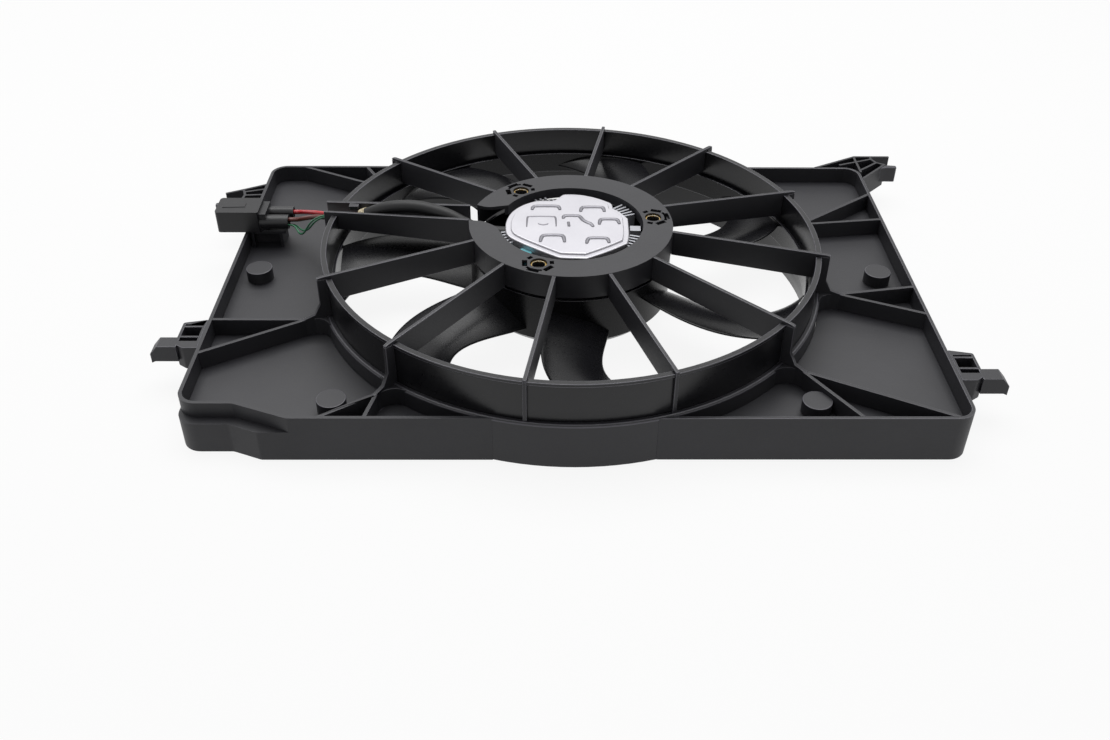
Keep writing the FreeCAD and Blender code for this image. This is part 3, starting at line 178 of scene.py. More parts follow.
# The same nylon, painted paler for the rounded edges: a painted highlight where light catches
# them.
nylon_painted_edge_highlight = moulded_plastic("glass_filled_nylon_painted_edge_highlight", "#4b4a51", "#5c5b62", 0.38, 1.2, 0.03)
for side in ("left", "right"):
    rounded("end_wall_" + side, "perimeter_wall_" + side, 0.5, "shroud",
            (nylon, nylon_painted_edge_highlight))


# ---------------------------------------------------------------- floors and collar
# The two wings of the floor close the tray round the barrel's stepped collar. They are the
# same nylon as the walls, and come out of the tool with them in one shot.

for side in ("left", "right"):
    rounded("wing_floor_" + side, "tray_floor_" + side, 0.3, "shroud",
            (nylon, nylon))
rounded("barrel_collar", "collar", 0.6, "shroud", (nylon, nylon_painted_edge_highlight))


# ---------------------------------------------------------------- pocket ribs and pads
# Upright ribs fork from the posts to the wall and stiffen the wings. Four round pads give
# the tool's ejectors a place to push. All of it is moulded with the floor, in the same nylon.

rounded("pocket_ribs", "stiffening_ribs", 0.5, "shroud", (nylon, nylon_painted_edge_highlight))
rounded("floor_pads", "ejector_pads", 0.5, "shroud", (nylon, nylon_painted_edge_highlight))

collar_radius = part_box("barrel_collar")[1][0] * 1000
# In mm: from the fan's axis to where two ribs part, and half the thickness of a rib.
fork_reach, rib_half = 225, 1.4
rib_low, rib_high = (corner[2] * 1000 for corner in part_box("pocket_ribs"))
# Post angle, then the plan ends in mm of the two ribs that leave it, clockwise one first.
forks = [
    (200, (-290, -77), (-290, -124)), (230, (-187, -202), (-151, -202)),
    (320, (208, -202), (281, -202)), (350, (290, -69), (290, -27)),
    (20, (290, 87), (290, 137)), (140, (-198, 191), (-262, 191)),
]


def upright(corners_mm, low_mm, high_mm):
    """An upright slab over plan corners, as a bmesh in metres."""
    shape = bmesh.new()
    ring = [shape.verts.new((x / 1000, y / 1000, low_mm / 1000)) for x, y in corners_mm]
    base = shape.faces.new(ring)
    top = bmesh.ops.extrude_face_region(shape, geom=[base])
    lifted = [item for item in top["geom"] if isinstance(item, bmesh.types.BMVert)]
    bmesh.ops.translate(shape, verts=lifted, vec=(0, 0, (high_mm - low_mm) / 1000))
    bmesh.ops.recalc_face_normals(shape, faces=shape.faces)
    return shape


def rib_foot(angle, rib_end, turn, radius_mm=13):
    """The web that sweeps from the collar into one side of a rib, as a bmesh."""
    into_collar, into_rib, arc_parts = 0.4, 0.2, 10
    spoke = Vector((math.cos(math.radians(angle)), math.sin(math.radians(angle))))
    start = spoke * fork_reach
    along = (Vector(rib_end) - start).normalized()
    out = Vector((-along.y, along.x)) * turn
    corner = start + out * (rib_half + radius_mm)
    reach = collar_radius + radius_mm
    middle = along.dot(corner)
    step = -middle + math.sqrt(middle ** 2 - corner.length_squared + reach ** 2)
    centre = corner + along * step
    on_collar = centre * (collar_radius - into_collar) / centre.length
    on_rib = centre - out * (radius_mm + into_rib)
    first = math.atan2(*(on_collar - centre).yx)
    sweep = (math.atan2(*(on_rib - centre).yx) - first + math.pi) % (2 * math.pi) - math.pi
    arc = [centre + Vector((math.cos(first + sweep * part / arc_parts),
                            math.sin(first + sweep * part / arc_parts))) * radius_mm
           for part in range(1, arc_parts)]
    plan = [on_collar] + arc + [on_rib, start + along * 6, spoke * (collar_radius - 1)]
    return upright([(point.x, point.y) for point in plan], rib_low + 0.1, rib_high)


for angle, first_end, last_end in forks:
    for turn, rib_end in ((-1, first_end), (1, last_end)):
        foot = rib_foot(angle, rib_end, turn)
        finished_piece(foot, "rib_foot_%d_%s" % (angle, "b" if turn > 0 else "a"), 0.4,
                       "shroud", (nylon, nylon_painted_edge_highlight))


# ---------------------------------------------------------------- fan barrel and posts
# The barrel is the tall round duct that the fan turns in. Its bore is polished in the tool
# and shines; posts run down its outside under each spoke.

# Nylon off a polished face of the tool: darker and glossier than the textured outside.
bore_nylon = moulded_plastic("polished_nylon", "#111114", "#19191c", 0.3, 2.4, 0.02, gloss=0.4)
rounded("fan_barrel", "barrel", 0.5, "shroud", (bore_nylon, nylon_painted_edge_highlight))
rounded("barrel_posts", "posts", 0.4, "shroud", (nylon, nylon_painted_edge_highlight))


# ---------------------------------------------------------------- spokes, motor ring, channel
# Eleven thin spokes and the open cable channel carry the flat ring that the motor hangs in.
# They are moulded with the barrel, in the same nylon. Short slots surround each of the ring's
# three screw bosses.

rounded("motor_spokes", "spokes", 0.5, "shroud", (nylon, nylon_painted_edge_highlight))


def add_box(shape, centre_mm, size_mm, turn_deg):
    """Adds a box to a bmesh, turned about the vertical."""
    place = (Matrix.Translation(Vector(centre_mm) / 1000)
             @ Matrix.Rotation(math.radians(turn_deg), 4, "Z")
             @ Matrix.Diagonal((size_mm[0] / 1000, size_mm[1] / 1000, size_mm[2] / 1000, 1)))
    bmesh.ops.create_cube(shape, size=1.0, matrix=place)


def carved(shape, cutter):
    """A bmesh with the cutter's boxes taken out of it."""
    body_mesh = bpy.data.meshes.new("carving")
    shape.to_mesh(body_mesh)
    shape.free()
    cutter_mesh = bpy.data.meshes.new("cutter")
    cutter.to_mesh(cutter_mesh)
    cutter.free()
    body = bpy.data.objects.new("carving", body_mesh)
    tool = bpy.data.objects.new("cutter", cutter_mesh)
    for thing in (body, tool):
        bpy.context.scene.collection.objects.link(thing)
    cut = body.modifiers.new("cut", "BOOLEAN")
    cut.operation = "DIFFERENCE"
    cut.solver = "EXACT"
    cut.object = tool
    bpy.context.view_layer.update()
    result = bmesh.new()
    result.from_mesh(body.evaluated_get(bpy.context.evaluated_depsgraph_get()).to_mesh())
    for thing in (body, tool):
        bpy.data.objects.remove(thing)
    return result


ring_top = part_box("motor_ring")[1][2] * 1000
boss_angles = (7.5, 127.5, -112.5)
boss_reach = 69.5
slot_height = 7.0
# Round each boss: a slot's angle in degrees, its distance, width and length in mm.
slot_plan = [(0, 11.4, 4.4, 10.0), (66, 11.0, 4.2, 9.0), (-66, 11.0, 4.2, 9.0),
             (116, 10.4, 3.4, 4.6), (-116, 10.4, 3.4, 4.6)]
slots = bmesh.new()
for boss_angle in boss_angles:
    boss = Vector((math.cos(math.radians(boss_angle)), math.sin(math.radians(boss_angle)), 0))
    for spread, reach, across, length in slot_plan:
        aim = math.radians(boss_angle + spread)
        spot = boss * boss_reach + Vector((math.cos(aim), math.sin(aim), 0)) * reach
        add_box(slots, (spot.x, spot.y, ring_top), (across, length, slot_height),
                boss_angle + spread)
ring_piece = finished_piece(carved(merged_copy("motor_ring"), slots), "motor_mount_ring", 0.35,
                            "shroud", (nylon, nylon_painted_edge_highlight))
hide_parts("motor_ring")
rounded("cable_channel", "lead_channel", 0.5, "shroud", (nylon, nylon_painted_edge_highlight))


# ---------------------------------------------------------------- mounting lugs
# Ribbed boxes with drop-in hooks at the front, and open ears with curved saddles at the rear.
# They are moulded on the perimeter wall, in the same nylon, and hang the shroud on the
# radiator's tanks. A rounded lip ends each saddle.

for place in ("front_left", "front_right", "rear_left", "rear_right"):
    rounded("lug_" + place, "lug_moulding_" + place, 0.4, "shroud",
            (nylon, nylon_painted_edge_highlight))
ear_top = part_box("lug_rear_right")[1][2] * 1000
lip_low, lip_high = ear_top - 16.8, ear_top - 0.4
left_ear_shift = 80
# The lip's plan in mm on the right ear; the left one is its mirror image, moved forward.
lip_plan = [(311.5, 189.2), (314.0, 197.6), (328.8, 195.6), (328.8, 191.2), (318.5, 191.6)]
for side, turn, forward in (("right", 1, 0), ("left", -1, left_ear_shift)):
    corners = [(turn * x, y - forward) for x, y in lip_plan]
    finished_piece(upright(corners, lip_low, lip_high), "saddle_lip_" + side, 1.2,
                   "shroud", (nylon, nylon_painted_edge_highlight), crease=20)


# ---------------------------------------------------------------- motor base and stator
# The motor stands on a die-cast aluminium base with cooling fins. Wound laminations and a
# circuit board sit under the cover and only show through the gaps.

def metal(name, dark, light, roughness, grain_mm, grain_depth_mm, stretch=(1.0, 1.0, 1.0)):
    """Bare metal: tone and roughness vary with a grain that may be drawn out one way."""
    stain_mm = 30
    material = new_material(name)
    place = add_node(material, "ShaderNodeTexCoord").outputs["Object"]
    drawn = add_node(material, "ShaderNodeMapping", {"Scale": stretch}, {"Vector": place})
    grain = add_node(material, "ShaderNodeTexNoise",
                     {"Scale": 1000 / grain_mm, "Detail": 3.0, "Roughness": 0.6},
                     {"Vector": drawn.outputs["Vector"]})
    stain = add_node(material, "ShaderNodeTexNoise",
                     {"Scale": 1000 / stain_mm, "Detail": 3.0, "Roughness": 0.55},
                     {"Vector": place})
    tone = add_node(material, "ShaderNodeMix",
                    {"data_type": "RGBA", 6: linear(dark), 7: linear(light)},
                    {0: stain.outputs["Fac"]}).outputs[2]
    rough = add_node(material, "ShaderNodeMapRange",
                     {"To Min": roughness - 0.1, "To Max": roughness + 0.12},
                     {"Value": grain.outputs["Fac"]})
    bump = add_node(material, "ShaderNodeBump",
                    {"Strength": 0.7, "Distance": grain_depth_mm / 1000},
                    {"Height": grain.outputs["Fac"]})
    shader = add_node(material, "ShaderNodeBsdfPrincipled", {"Metallic": 1.0},
                      {"Base Color": tone, "Roughness": rough.outputs["Result"],
                       "Normal": bump.outputs["Normal"]})
    add_node(material, "ShaderNodeOutputMaterial", links={"Surface": shader.outputs["BSDF"]})
    return material


def dress(node, material):
    """Gives a CAD node its finish."""
    node_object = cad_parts[node]
    node_object.data.materials.clear()
    node_object.data.materials.append(material)
    return node_object


# Die-cast aluminium: pale grey, sandy skin from the die.
cast_aluminium = metal("cast_aluminium", "#8a8b90", "#a3a4a8", 0.5, 1.1, 0.06)
rounded("motor_base", "finned_motor_base", 0.3, "shroud",
        (cast_aluminium, cast_aluminium))
cover_low, cover_top = (corner[2] * 1000 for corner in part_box("electronics_cover"))
fin_middle, fin_height = cover_top - 9.5, 12.0
# Fin groups: first angle, number and pitch, then inner radius, outer radius and thickness in mm.
fin_groups = [
    (-34, 5, 4.5, 50.0, 58.7, 1.8), (-3, 1, 1.0, 49.0, 58.0, 8.0), (22, 5, 4.5, 47.5, 58.7, 1.8),
    (-170.5, 5, 4.5, 51.0, 58.7, 1.8), (103, 4, 4.5, 42.0, 49.0, 1.4),
]
fins = bmesh.new()
for first_angle, count, pitch, inner, outer, thick in fin_groups:
    for index in range(count):
        aim = math.radians(first_angle + index * pitch)
        middle = (inner + outer) / 2
        add_box(fins, (middle * math.cos(aim), middle * math.sin(aim), fin_middle),
                (outer - inner, thick, fin_height), math.degrees(aim))
finished_piece(fins, "cooling_fins", 0.25, "shroud",
               (cast_aluminium, cast_aluminium))
# Ground bearing steel: bright, with the fine rings of grinding.
bearing_steel = metal("ground_bearing_steel", "#8f9196", "#b4b6ba", 0.22, 0.6, 0.005)
dress("bearing_front", bearing_steel)
dress("bearing_rear", bearing_steel)
# Varnished electrical steel: dark sheets stacked along the shaft.
dress("stator_core", metal("varnished_laminations", "#2c2c30", "#3d3d42", 0.5, 0.7, 0.03,
                           (0.1, 0.1, 4.0)))
# Enamelled copper wire: red-brown lacquer over bright metal.
dress("stator_coils", metal("enamelled_copper", "#7a3417", "#a9552a", 0.3, 0.9, 0.08,
                            (1.0, 1.0, 5.0)))
# Green solder resist over glass-epoxy board.
dress("circuit_board", moulded_plastic("solder_resist", "#0d3f26", "#14522f", 0.3, 0.9, 0.01))
# Turned brass spacers.
turned_brass = metal("turned_brass", "#a8863c", "#c9a85a", 0.28, 0.5, 0.01, (1.0, 1.0, 6.0))
dress("board_spacers", turned_brass)
# Drawn aluminium cans of the capacitors.
dress("capacitors", metal("drawn_capacitor_can", "#7b7d84", "#9a9ca2", 0.3, 0.6, 0.01,
                          (4.0, 4.0, 0.4)))
# Black moulded epoxy of the transistors.
dress("power_transistors", moulded_plastic("moulded_epoxy", "#151517", "#1e1e21", 0.55, 0.7,
                                           0.02))


# ---------------------------------------------------------------- electronics cover
# A pressed aluminium lid over the motor's electronics, with a raised rim and shallow pressed
# beads that clear the parts under it. A rubber seal and a small breather go with it.

def bead(points, radius_mm, low_mm):
    """A pressed bead as a rounded ridge along plan points, sunk into the sheet."""
    curve = bpy.data.curves.new("bead", "CURVE")
    curve.dimensions = "3D"
    curve.bevel_depth = radius_mm / 1000
    curve.bevel_resolution = 4
    curve.use_fill_caps = True
    curve.resolution_u = 8
    spline = curve.splines.new("NURBS")
    spline.points.add(len(points) - 1)
    for index, (point, (x, y)) in enumerate(zip(spline.points, points)):
        ends = index in (0, len(points) - 1)
        point.co = (x / 1000, y / 1000, low_mm / 1000, 1.0)
        point.radius = 0.75 if ends else 1.0
    spline.order_u = 3
    spline.use_endpoint_u = True
    thing = bpy.data.objects.new("bead", curve)
    bpy.context.scene.collection.objects.link(thing)
    bpy.context.view_layer.update()
    mesh = bpy.data.meshes.new_from_object(thing)
    bpy.data.objects.remove(thing)
    return mesh


# Plan outline of the lid in mm; a doubled point keeps that corner tight.
lid_outline = [
    (-54.3, -8), (-54.2, 3), (-50.5, 18), (-42, 30), (-31, 37.5), (-24, 39), (-14.5, 38.8),
    (-14.5, 38.8), (-11, 42), (-6.5, 49.5), (-2, 50.4), (9, 49.8), (22, 44.5), (33, 36.5),
    (35.8, 33), (36.2, 25), (36.2, 25), (41.5, 20), (47.8, 8), (47.8, 8), (47.4, -20),
    (45, -32.5), (45, -32.5), (30, -44.5),
    (11.5, -56), (11.5, -56), (-9, -55), (-11.5, -54), (-33.5, -38), (-49, -25), (-53.5, -17.5),
]


def lid_plate(inset_mm, low_mm, high_mm, radius_mm):
    """A plate over the lid's outline, moved inwards, with rounded edges."""
    curve = bpy.data.curves.new("lid", "CURVE")
    curve.dimensions = "2D"
    curve.fill_mode = "BOTH"
    curve.resolution_u = 6
    curve.extrude = (high_mm - low_mm) / 2000 - radius_mm / 1000
    curve.bevel_depth = radius_mm / 1000
    curve.bevel_resolution = 2
    curve.offset = -radius_mm / 1000
    spline = curve.splines.new("NURBS")
    spline.points.add(len(lid_outline) - 1)
    for point, (x, y) in zip(spline.points, lid_outline):
        scale = 1 - inset_mm / math.hypot(x, y)
        point.co = (x * scale / 1000, y * scale / 1000, 0, 1.0)
    spline.order_u = 3
    spline.use_cyclic_u = True
    thing = bpy.data.objects.new("lid", curve)
    bpy.context.scene.collection.objects.link(thing)
    bpy.context.view_layer.update()
    mesh = bpy.data.meshes.new_from_object(thing)
    bpy.data.objects.remove(thing)
    mesh.transform(Matrix.Translation((0, 0, (high_mm + low_mm) / 2000)))
    return mesh


def lid_piece(meshes, name, finish):
    """One shaded piece of the lid."""
    shape = bmesh.new()
    for mesh in meshes:
        shape.from_mesh(mesh)
    bmesh.ops.remove_doubles(shape, verts=shape.verts, dist=0.00001)
    bmesh.ops.recalc_face_normals(shape, faces=shape.faces)
    return finished_piece(shape, name, 0, "shroud", (finish,), crease=60)


# Pressed aluminium sheet, satin from rolling: almost white under a pale sky.
pressed_aluminium = metal("pressed_aluminium", "#a8a7ac", "#b7b6ba", 0.5, 0.8, 0.01,
                          (0.3, 3.0, 1.0))
# The same sheet on the pressed beads, painted darker: painted shade on the beads' sides and
# ends.
aluminium_painted_bead_shade = metal("aluminium_painted_bead_shade", "#6b6a6f", "#7e7d82", 0.45, 0.7, 0.02)
flange_top = cover_top - 0.2
crown_foot, crown_top, crown_inset = cover_top - 1.8, cover_top + 1.4, 4.6
flange = lid_piece([lid_plate(0, cover_low, flange_top, 1.0)], "cover_flange",
                   pressed_aluminium)
crown = lid_piece([lid_plate(crown_inset, crown_foot, crown_top, 0.9)], "cover_crown",
                  pressed_aluminium)
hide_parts("electronics_cover")
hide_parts("electronics_cover")
# The beads' centre lines in mm, seen from above.
bead_lines = [
    [(-32.4, 19.2), (-32, 24.5), (-29, 25.6), (-12, 25.6), (-9.4, 24.5), (-9, 19.2)],
    [(8.4, 16.2), (9, 22.6), (11.5, 24), (26, 24), (28, 22.6), (28.4, 16.2)],
    [(-6.4, 4.6), (-6, 8.2), (-4.5, 9.2), (6, 9.2), (8, 7.5), (9.5, 2.5), (13.5, -2.5),
     (17, -4.5), (18, -9)],
    [(-2.2, -1.5), (-1.8, -8.4)],
    [(23.3, -5.2), (24, 2), (26, 3.4), (37, 3.4), (39.3, 2), (39.9, -4.5)],
    [(-25.4, -33.4), (-24.6, -25), (-22, -23), (-8.5, -23), (-6.2, -25), (-5.8, -34)],
    [(11.9, -36), (12.8, -29), (15, -27.4), (27.5, -27.4), (29.5, -29), (30, -35)],
]
# The beads are painted darker than the lid: painted shade on their sides and ends.
lid_piece([bead(line, 2.1, crown_top - 0.9) for line in bead_lines], "cover_beads",
          aluminium_painted_bead_shade)
frame_lines = [[(-36.6, -9.4), (-36.6, 6.4), (-35, 8), (-14, 8), (-12.4, 6.4), (-12.4, -8.4)],
               [(-27, -4), (-26, -6), (-20, -6), (-19, -4)]]
lid_piece([bead(line, 1.0, crown_top - 0.5) for line in frame_lines], "cover_frame_bead",
          aluminium_painted_bead_shade)
# Black moulded rubber, dull.
rubber = moulded_plastic("moulded_rubber", "#0f0f10", "#18181a", 0.75, 0.9, 0.03)
dress("cover_gasket", rubber)
# Moulded cap over the breather's membrane: cyan, with a chalky bloom.
breather_cap = moulded_plastic("breather_cap", "#3fa3b0", "#b9dfe2", 0.45, 0.8, 0.05)
cap_middle = (-0.0375, -0.0375, cover_top / 1000 - 0.0095)
cap = bmesh.new()
bmesh.ops.create_cone(cap, cap_ends=True, segments=40, radius1=0.0062, radius2=0.0058,
                      depth=0.009, matrix=Matrix.Translation(cap_middle))
cap_piece = finished_piece(cap, "breather_cap", 0.8, "shroud",
                           (breather_cap, breather_cap))
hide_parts("breather")


# ---------------------------------------------------------------- motor screws and bushes
# Three zinc-plated screws hold the motor to the ring. Each goes through a rolled brass bush,
# whose collar keeps the screw from crushing the nylon.

# Zinc plate: bright grey with a warm passivated tint.
zinc = metal("zinc_plate", "#a29e92", "#c6c3b8", 0.3, 0.5, 0.01)
dress("motor_screws", zinc)
dress("screw_bushes", turned_brass)
collar_low, collar_height = ring_top / 1000 - 0.0024, 0.0009
collar_radii = (0.0064, 0.0052)
for number, boss_angle in enumerate(boss_angles, start=1):
    aim = math.radians(boss_angle)
    place = Matrix.Translation((boss_reach / 1000 * math.cos(aim),
                                boss_reach / 1000 * math.sin(aim), collar_low))
    washer = bmesh.new()
    for radius in collar_radii:
        bmesh.ops.create_circle(washer, cap_ends=False, segments=48, radius=radius,
                                matrix=place)
    bmesh.ops.bridge_loops(washer, edges=washer.edges[:])
    top = bmesh.ops.extrude_face_region(washer, geom=washer.faces[:])
    lifted = [item for item in top["geom"] if isinstance(item, bmesh.types.BMVert)]
    bmesh.ops.translate(washer, verts=lifted, vec=(0, 0, collar_height))
    bmesh.ops.recalc_face_normals(washer, faces=washer.faces)
    # The collars' rounded edges take the brighter zinc finish, a painted highlight.
    finished_piece(washer, "bush_collar_%d" % number, 0.15, "shroud",
                   (turned_brass, zinc))


# ---------------------------------------------------------------- fan
# Hub, seven swept blades and band are one moulding in a stiffer, smoother nylon. The blades
# are polished by the tool and show long soft reflections.

# Smooth fan nylon: deep black with a clear satin shine.
fan_nylon = moulded_plastic("fan_nylon", "#0b0b0d", "#111114", 0.28, 1.8, 0.02, gloss=0.24)
# The same nylon, painted paler for the hub's and band's rounded edges: a painted highlight.
fan_painted_edge_highlight = moulded_plastic("fan_nylon_painted_edge_highlight", "#36353b", "#47464c", 0.35, 1.2, 0.02)
rounded("fan_hub", "hub", 0.7, "fan", (fan_nylon, fan_painted_edge_highlight))

hub_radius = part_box("fan_hub")[1][0] * 1000
# The flare at the band's mouth and the band's wall together, in mm.
band_inset = 2.8
tip_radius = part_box("fan_band")[1][0] * 1000 - band_inset


def blade_edge(radius, angle, lead):
    """A point in mm on the leading or trailing edge of a blade."""
    span = (radius - hub_radius) / (tip_radius - hub_radius)
    if lead:
        turn = 0.364 - 0.697 * span + 0.428 * span ** 2 + 0.332 * span ** 3
        height = 28.8 + 18.6 * span - 11 * span ** 2
    else:
        turn = -0.22 + 0.002 * span + 0.114 * span ** 2 + 0.11 * span ** 3
        height = 50.3 - 5.1 * span + 1.4 * span ** 2
    turn += math.radians(angle)
    return Vector((radius * math.cos(turn), radius * math.sin(turn), height))


def section_ring(shape, radius, angle, segments=36):
    """One closed cambered section of a blade, as a ring of edges in a bmesh."""
    camber, half_tip, half_gain = 0.06, 0.7, 0.8
    lead = blade_edge(radius, angle, True)
    chord = blade_edge(radius, angle, False) - lead
    middle = lead + chord / 2
    normal = Vector((middle.x, middle.y, 0)).cross(chord).normalized()
    if normal.z < 0:
        normal.negate()
    ring = bmesh.ops.create_circle(shape, segments=segments, radius=1.0)["verts"]
    for vertex in ring:
        place = (1 - vertex.co.x) / 2
        bulge = 4 * place * (1 - place)
        side = math.copysign(min(1.0, abs(vertex.co.y) * 6), vertex.co.y)
        lift = camber * chord.length * bulge + side * (half_tip + half_gain * bulge)
        vertex.co = (lead + chord * place + normal * lift) / 1000
    return list({edge for vertex in ring for edge in vertex.link_edges})


# The blades run a little way into the hub and the band, and are unevenly spaced to break up
# the fan's tone.
blade_angles = (-90, -136.5, -187.3, -35.6, 17.5, 68, 118.6)
stations = 26
root_radius = hub_radius - 0.8
blade_span = tip_radius + 1.2 - hub_radius
blade_shape = bmesh.new()
for angle in blade_angles:
    rings = [section_ring(blade_shape, root_radius + blade_span * index / (stations - 1), angle)
             for index in range(stations)]
    for ring, following in zip(rings, rings[1:]):
        bmesh.ops.bridge_loops(blade_shape, edges=ring + following)
    bmesh.ops.contextual_create(blade_shape, geom=rings[0])
    bmesh.ops.contextual_create(blade_shape, geom=rings[-1])
bmesh.ops.recalc_face_normals(blade_shape, faces=blade_shape.faces)
blades = finished_piece(blade_shape, "blades", 0, "fan", (fan_nylon,), crease=75)
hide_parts("fan_blades")
rounded("fan_band", "band", 0.4, "fan", (fan_nylon, fan_painted_edge_highlight))


# ---------------------------------------------------------------- rotor
# The motor's outer rotor: a deep-drawn steel can with ferrite magnets glued inside, pressed
# on a ground shaft and screwed to the fan.

# Black electrocoat on deep-drawn steel: an even, thin, half-gloss film.
dress("rotor_can", moulded_plastic("black_electrocoat", "#19191b", "#232326", 0.4, 1.4, 0.02))
# Sintered ferrite: dark grey ceramic, dull and slightly pitted.
dress("rotor_magnets", moulded_plastic("sintered_ferrite", "#1e1e20", "#29292c", 0.7, 0.8, 0.04))
dress("motor_shaft", bearing_steel)
dress("fan_screws", zinc)


# ---------------------------------------------------------------- connector
# A boxed four-way connector, clipped to a moulded bracket, with two round sleeves at its rear
# that the wires leave through rubber seals.

# Unfilled connector nylon: even black, a little glossier than the shroud.
connector_nylon = moulded_plastic("connector_nylon", "#0f0f12", "#161619", 0.42, 0.9, 0.02,
                                  gloss=0.4)
rounded("connector_housing", "connector_body", 0.8, "shroud",
        (connector_nylon, nylon_painted_edge_highlight))
latch_low, latch_high = (Vector(corner) * 1000 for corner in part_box("connector_lock"))
latch_taper, latch_foot, latch_top = 1, latch_low.z - 0.4, latch_low.z + 0.35
latch = upright([(latch_low.x, latch_low.y), (latch_high.x, latch_low.y + latch_taper),
                 (latch_high.x, latch_high.y - latch_taper), (latch_low.x, latch_high.y)],
                latch_foot, latch_top)
latch_piece = finished_piece(latch, "connector_latch", 0.2, "shroud",
                             (connector_nylon, connector_nylon))
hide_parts("connector_lock")
rounded("connector_bracket", "bracket", 0.4, "shroud", (nylon, nylon_painted_edge_highlight))
# Brick-red silicone, soft and slightly dusty.
dress("connector_seal", moulded_plastic("silicone_seal", "#7a3520", "#8f4529", 0.6, 0.8, 0.02))
# Bright tin plate.
dress("connector_terminals", metal("tin_plate", "#b4b4b6", "#cfcfd1", 0.2, 0.5, 0.004))


# ---------------------------------------------------------------- lead
# Two thick supply wires and two thin signal wires run into a black sheath that arches along
# the channel to the motor; a turn of cloth tape ends the sheath and a clip holds it down.

# Extruded rubber sheath: soft black with a faint sheen.
sheath_rubber = moulded_plastic("sheath_rubber", "#0b0b0c", "#131315", 0.5, 1.2, 0.03,
                                gloss=0.35)
rounded("cable_sheath", "lead_sheath", 0, "shroud", (sheath_rubber,),
        crease=50)


def soft_vinyl(name, dark, light):
    """Soft vinyl wire insulation: glossy, slightly uneven, with a pale dusty bloom."""
    bloom_mm = 5
    material = new_material(name)
    place = add_node(material, "ShaderNodeTexCoord").outputs["Object"]
    cloud = add_node(material, "ShaderNodeTexNoise",
                     {"Scale": 1000 / bloom_mm, "Detail": 3.0, "Roughness": 0.6},
                     {"Vector": place})
    tone = add_node(material, "ShaderNodeMix",
                    {"data_type": "RGBA", 6: linear(dark), 7: linear(light)},
                    {0: cloud.outputs["Fac"]}).outputs[2]
    rough = add_node(material, "ShaderNodeMapRange", {"To Min": 0.24, "To Max": 0.44},
                     {"Value": cloud.outputs["Fac"]})
    bump = add_node(material, "ShaderNodeBump", {"Strength": 0.3, "Distance": 0.0001},
                    {"Height": cloud.outputs["Fac"]})
    shader = add_node(material, "ShaderNodeBsdfPrincipled", {"IOR": 1.53},
                      {"Base Color": tone, "Roughness": rough.outputs["Result"],
                       "Normal": bump.outputs["Normal"]})
    add_node(material, "ShaderNodeOutputMaterial", links={"Surface": shader.outputs["BSDF"]})
    return material


# Extruded vinyl insulation: clear red, on one supply wire.
rounded("supply_wire_red", "red_wire", 0, "shroud",
        (soft_vinyl("red_vinyl", "#a81d28", "#c02a33"),), crease=50)
# The same vinyl in a dark red-brown, on the other supply wire.
rounded("supply_wire_brown", "brown_wire", 0, "shroud",
        (soft_vinyl("brown_vinyl", "#4d1d18", "#632a21"),), crease=50)
# The same vinyl in green, on the thin signal pair.
rounded("signal_wires", "green_wires", 0, "shroud",
        (soft_vinyl("green_vinyl", "#246043", "#357a55"),), crease=50)


def cloth_tape(name, thread_mm):
    """Woven cloth tape: crossing threads, dull."""
    threads = 1000 / thread_mm / 6.283
    material = new_material(name)
    place = add_node(material, "ShaderNodeTexCoord").outputs["Object"]
    warp = add_node(material, "ShaderNodeTexWave",
                    {"bands_direction": "X", "Scale": threads, "Distortion": 0.6},
                    {"Vector": place})
    weft = add_node(material, "ShaderNodeTexWave",
                    {"bands_direction": "Z", "Scale": threads, "Distortion": 0.6},
                    {"Vector": place})
    weave = add_node(material, "ShaderNodeMath", {"operation": "MULTIPLY"},
                     {0: warp.outputs["Fac"], 1: weft.outputs["Fac"]})
    tone = add_node(material, "ShaderNodeMix",
                    {"data_type": "RGBA", 6: linear("#b3a78a"), 7: linear("#ddd3ba")},
                    {0: weave.outputs["Value"]}).outputs[2]
    bump = add_node(material, "ShaderNodeBump", {"Strength": 0.8, "Distance": 0.0002},
                    {"Height": weave.outputs["Value"]})
    shader = add_node(material, "ShaderNodeBsdfPrincipled", {"Roughness": 0.85},
                      {"Base Color": tone, "Normal": bump.outputs["Normal"]})
    add_node(material, "ShaderNodeOutputMaterial", links={"Surface": shader.outputs["BSDF"]})
    return material


# Cream woven tape, its threads drawn coarser than they are so that they show.
rounded("cable_tape", "sheath_tape", 0.2, "shroud",
        (cloth_tape("cream_cloth_tape", 0.9),), crease=50)
rounded("cable_clip", "lead_clip", 0.4, "shroud", (nylon, nylon_painted_edge_highlight))


# ---------------------------------------------------------------- studio
# A pale matt floor with one broad soft lamp overhead, a little behind the shroud. The
# surround is white where it is seen, and gives only a weak fill light.

floor_mesh = bpy.data.meshes.new("floor")
floor_shape = bmesh.new()
bmesh.ops.create_grid(floor_shape, x_segments=1, y_segments=1, size=6)
floor_shape.to_mesh(floor_mesh)
floor_shape.free()
floor = bpy.data.objects.new("floor", floor_mesh)


def seen_directly(owner):
    """1 where a camera, mirror or see-through ray looks, 0 where light is only gathered."""
    path = add_node(owner, "ShaderNodeLightPath")
    seen = add_node(owner, "ShaderNodeMath", {"operation": "ADD"},
                    {0: path.outputs["Is Camera Ray"], 1: path.outputs["Is Glossy Ray"]})
    seen = add_node(owner, "ShaderNodeMath", {"operation": "ADD", "use_clamp": True},
                    {0: seen.outputs["Value"], 1: path.outputs["Is Transmission Ray"]})
    return seen.outputs["Value"]


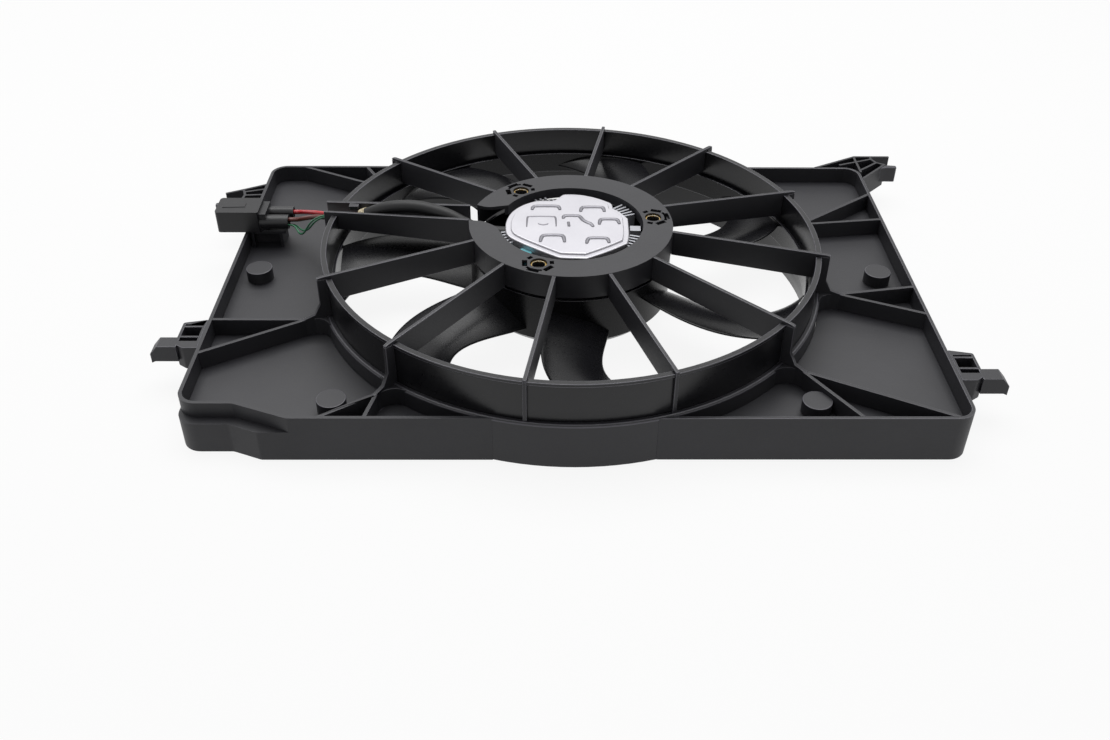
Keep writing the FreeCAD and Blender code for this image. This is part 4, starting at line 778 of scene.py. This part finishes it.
# Matt painted board that glows where it is looked at, so that it reads as white.
floor_glow_share = 0.9
pale = new_material("pale_floor")
floor_shader = add_node(pale, "ShaderNodeBsdfPrincipled",
                        {"Base Color": linear("#dcdcdc"), "Roughness": 0.9})
floor_glow = add_node(pale, "ShaderNodeEmission", {"Color": linear("#ffffff"), "Strength": 1.0})
floor_part = add_node(pale, "ShaderNodeMath", {"operation": "MULTIPLY", 1: floor_glow_share},
                      {0: seen_directly(pale)})
floor_mix = add_node(pale, "ShaderNodeMixShader", links={
    0: floor_part.outputs["Value"], 1: floor_shader.outputs["BSDF"],
    2: floor_glow.outputs["Emission"]})
add_node(pale, "ShaderNodeOutputMaterial", links={"Surface": floor_mix.outputs["Shader"]})
floor_mesh.materials.append(pale)
floor.location.z = -0.0003
bpy.context.scene.collection.objects.link(floor)

fill_light = 0.17
world = bpy.data.worlds.new("surround")
bpy.context.scene.world = world
world.use_nodes = True
world.node_tree.nodes.clear()
surround = add_node(world, "ShaderNodeMapRange", {"To Min": fill_light, "To Max": 1.0},
                    {"Value": seen_directly(world)})
background = add_node(world, "ShaderNodeBackground", {"Color": linear("#ffffff")},
                      {"Strength": surround.outputs["Result"]})
add_node(world, "ShaderNodeOutputWorld", links={"Surface": background.outputs["Background"]})

overhead = bpy.data.lights.new("overhead", "AREA")
overhead.shape = "RECTANGLE"
overhead.size = 2.4
overhead.size_y = 1.6
overhead.energy = 52
overhead_object = bpy.data.objects.new("overhead", overhead)
overhead_object.location = (-0.1, 0.6, 1.9)
overhead_object.rotation_euler = (math.radians(-15), 0, 0)
bpy.context.scene.collection.objects.link(overhead_object)

lens = bpy.data.cameras.new("camera")
lens.sensor_width = 36
lens.lens = 35.95
lens.clip_start = 0.01
camera = bpy.data.objects.new("camera", lens)
# In degrees: the turn round the vertical, how far the view looks down, and the camera's roll.
pan, look_down, roll = -0.749, 37.10, 0.502
turn = (Matrix.Rotation(math.radians(pan), 4, "Z")
        @ Matrix.Rotation(math.radians(90 - look_down), 4, "X")
        @ Matrix.Rotation(math.radians(roll), 4, "Z"))
camera.matrix_world = Matrix.Translation((-0.02275, -0.80732, 0.54081)) @ turn
bpy.context.scene.collection.objects.link(camera)
bpy.context.scene.camera = camera
bpy.context.scene.view_settings.view_transform = "Standard"
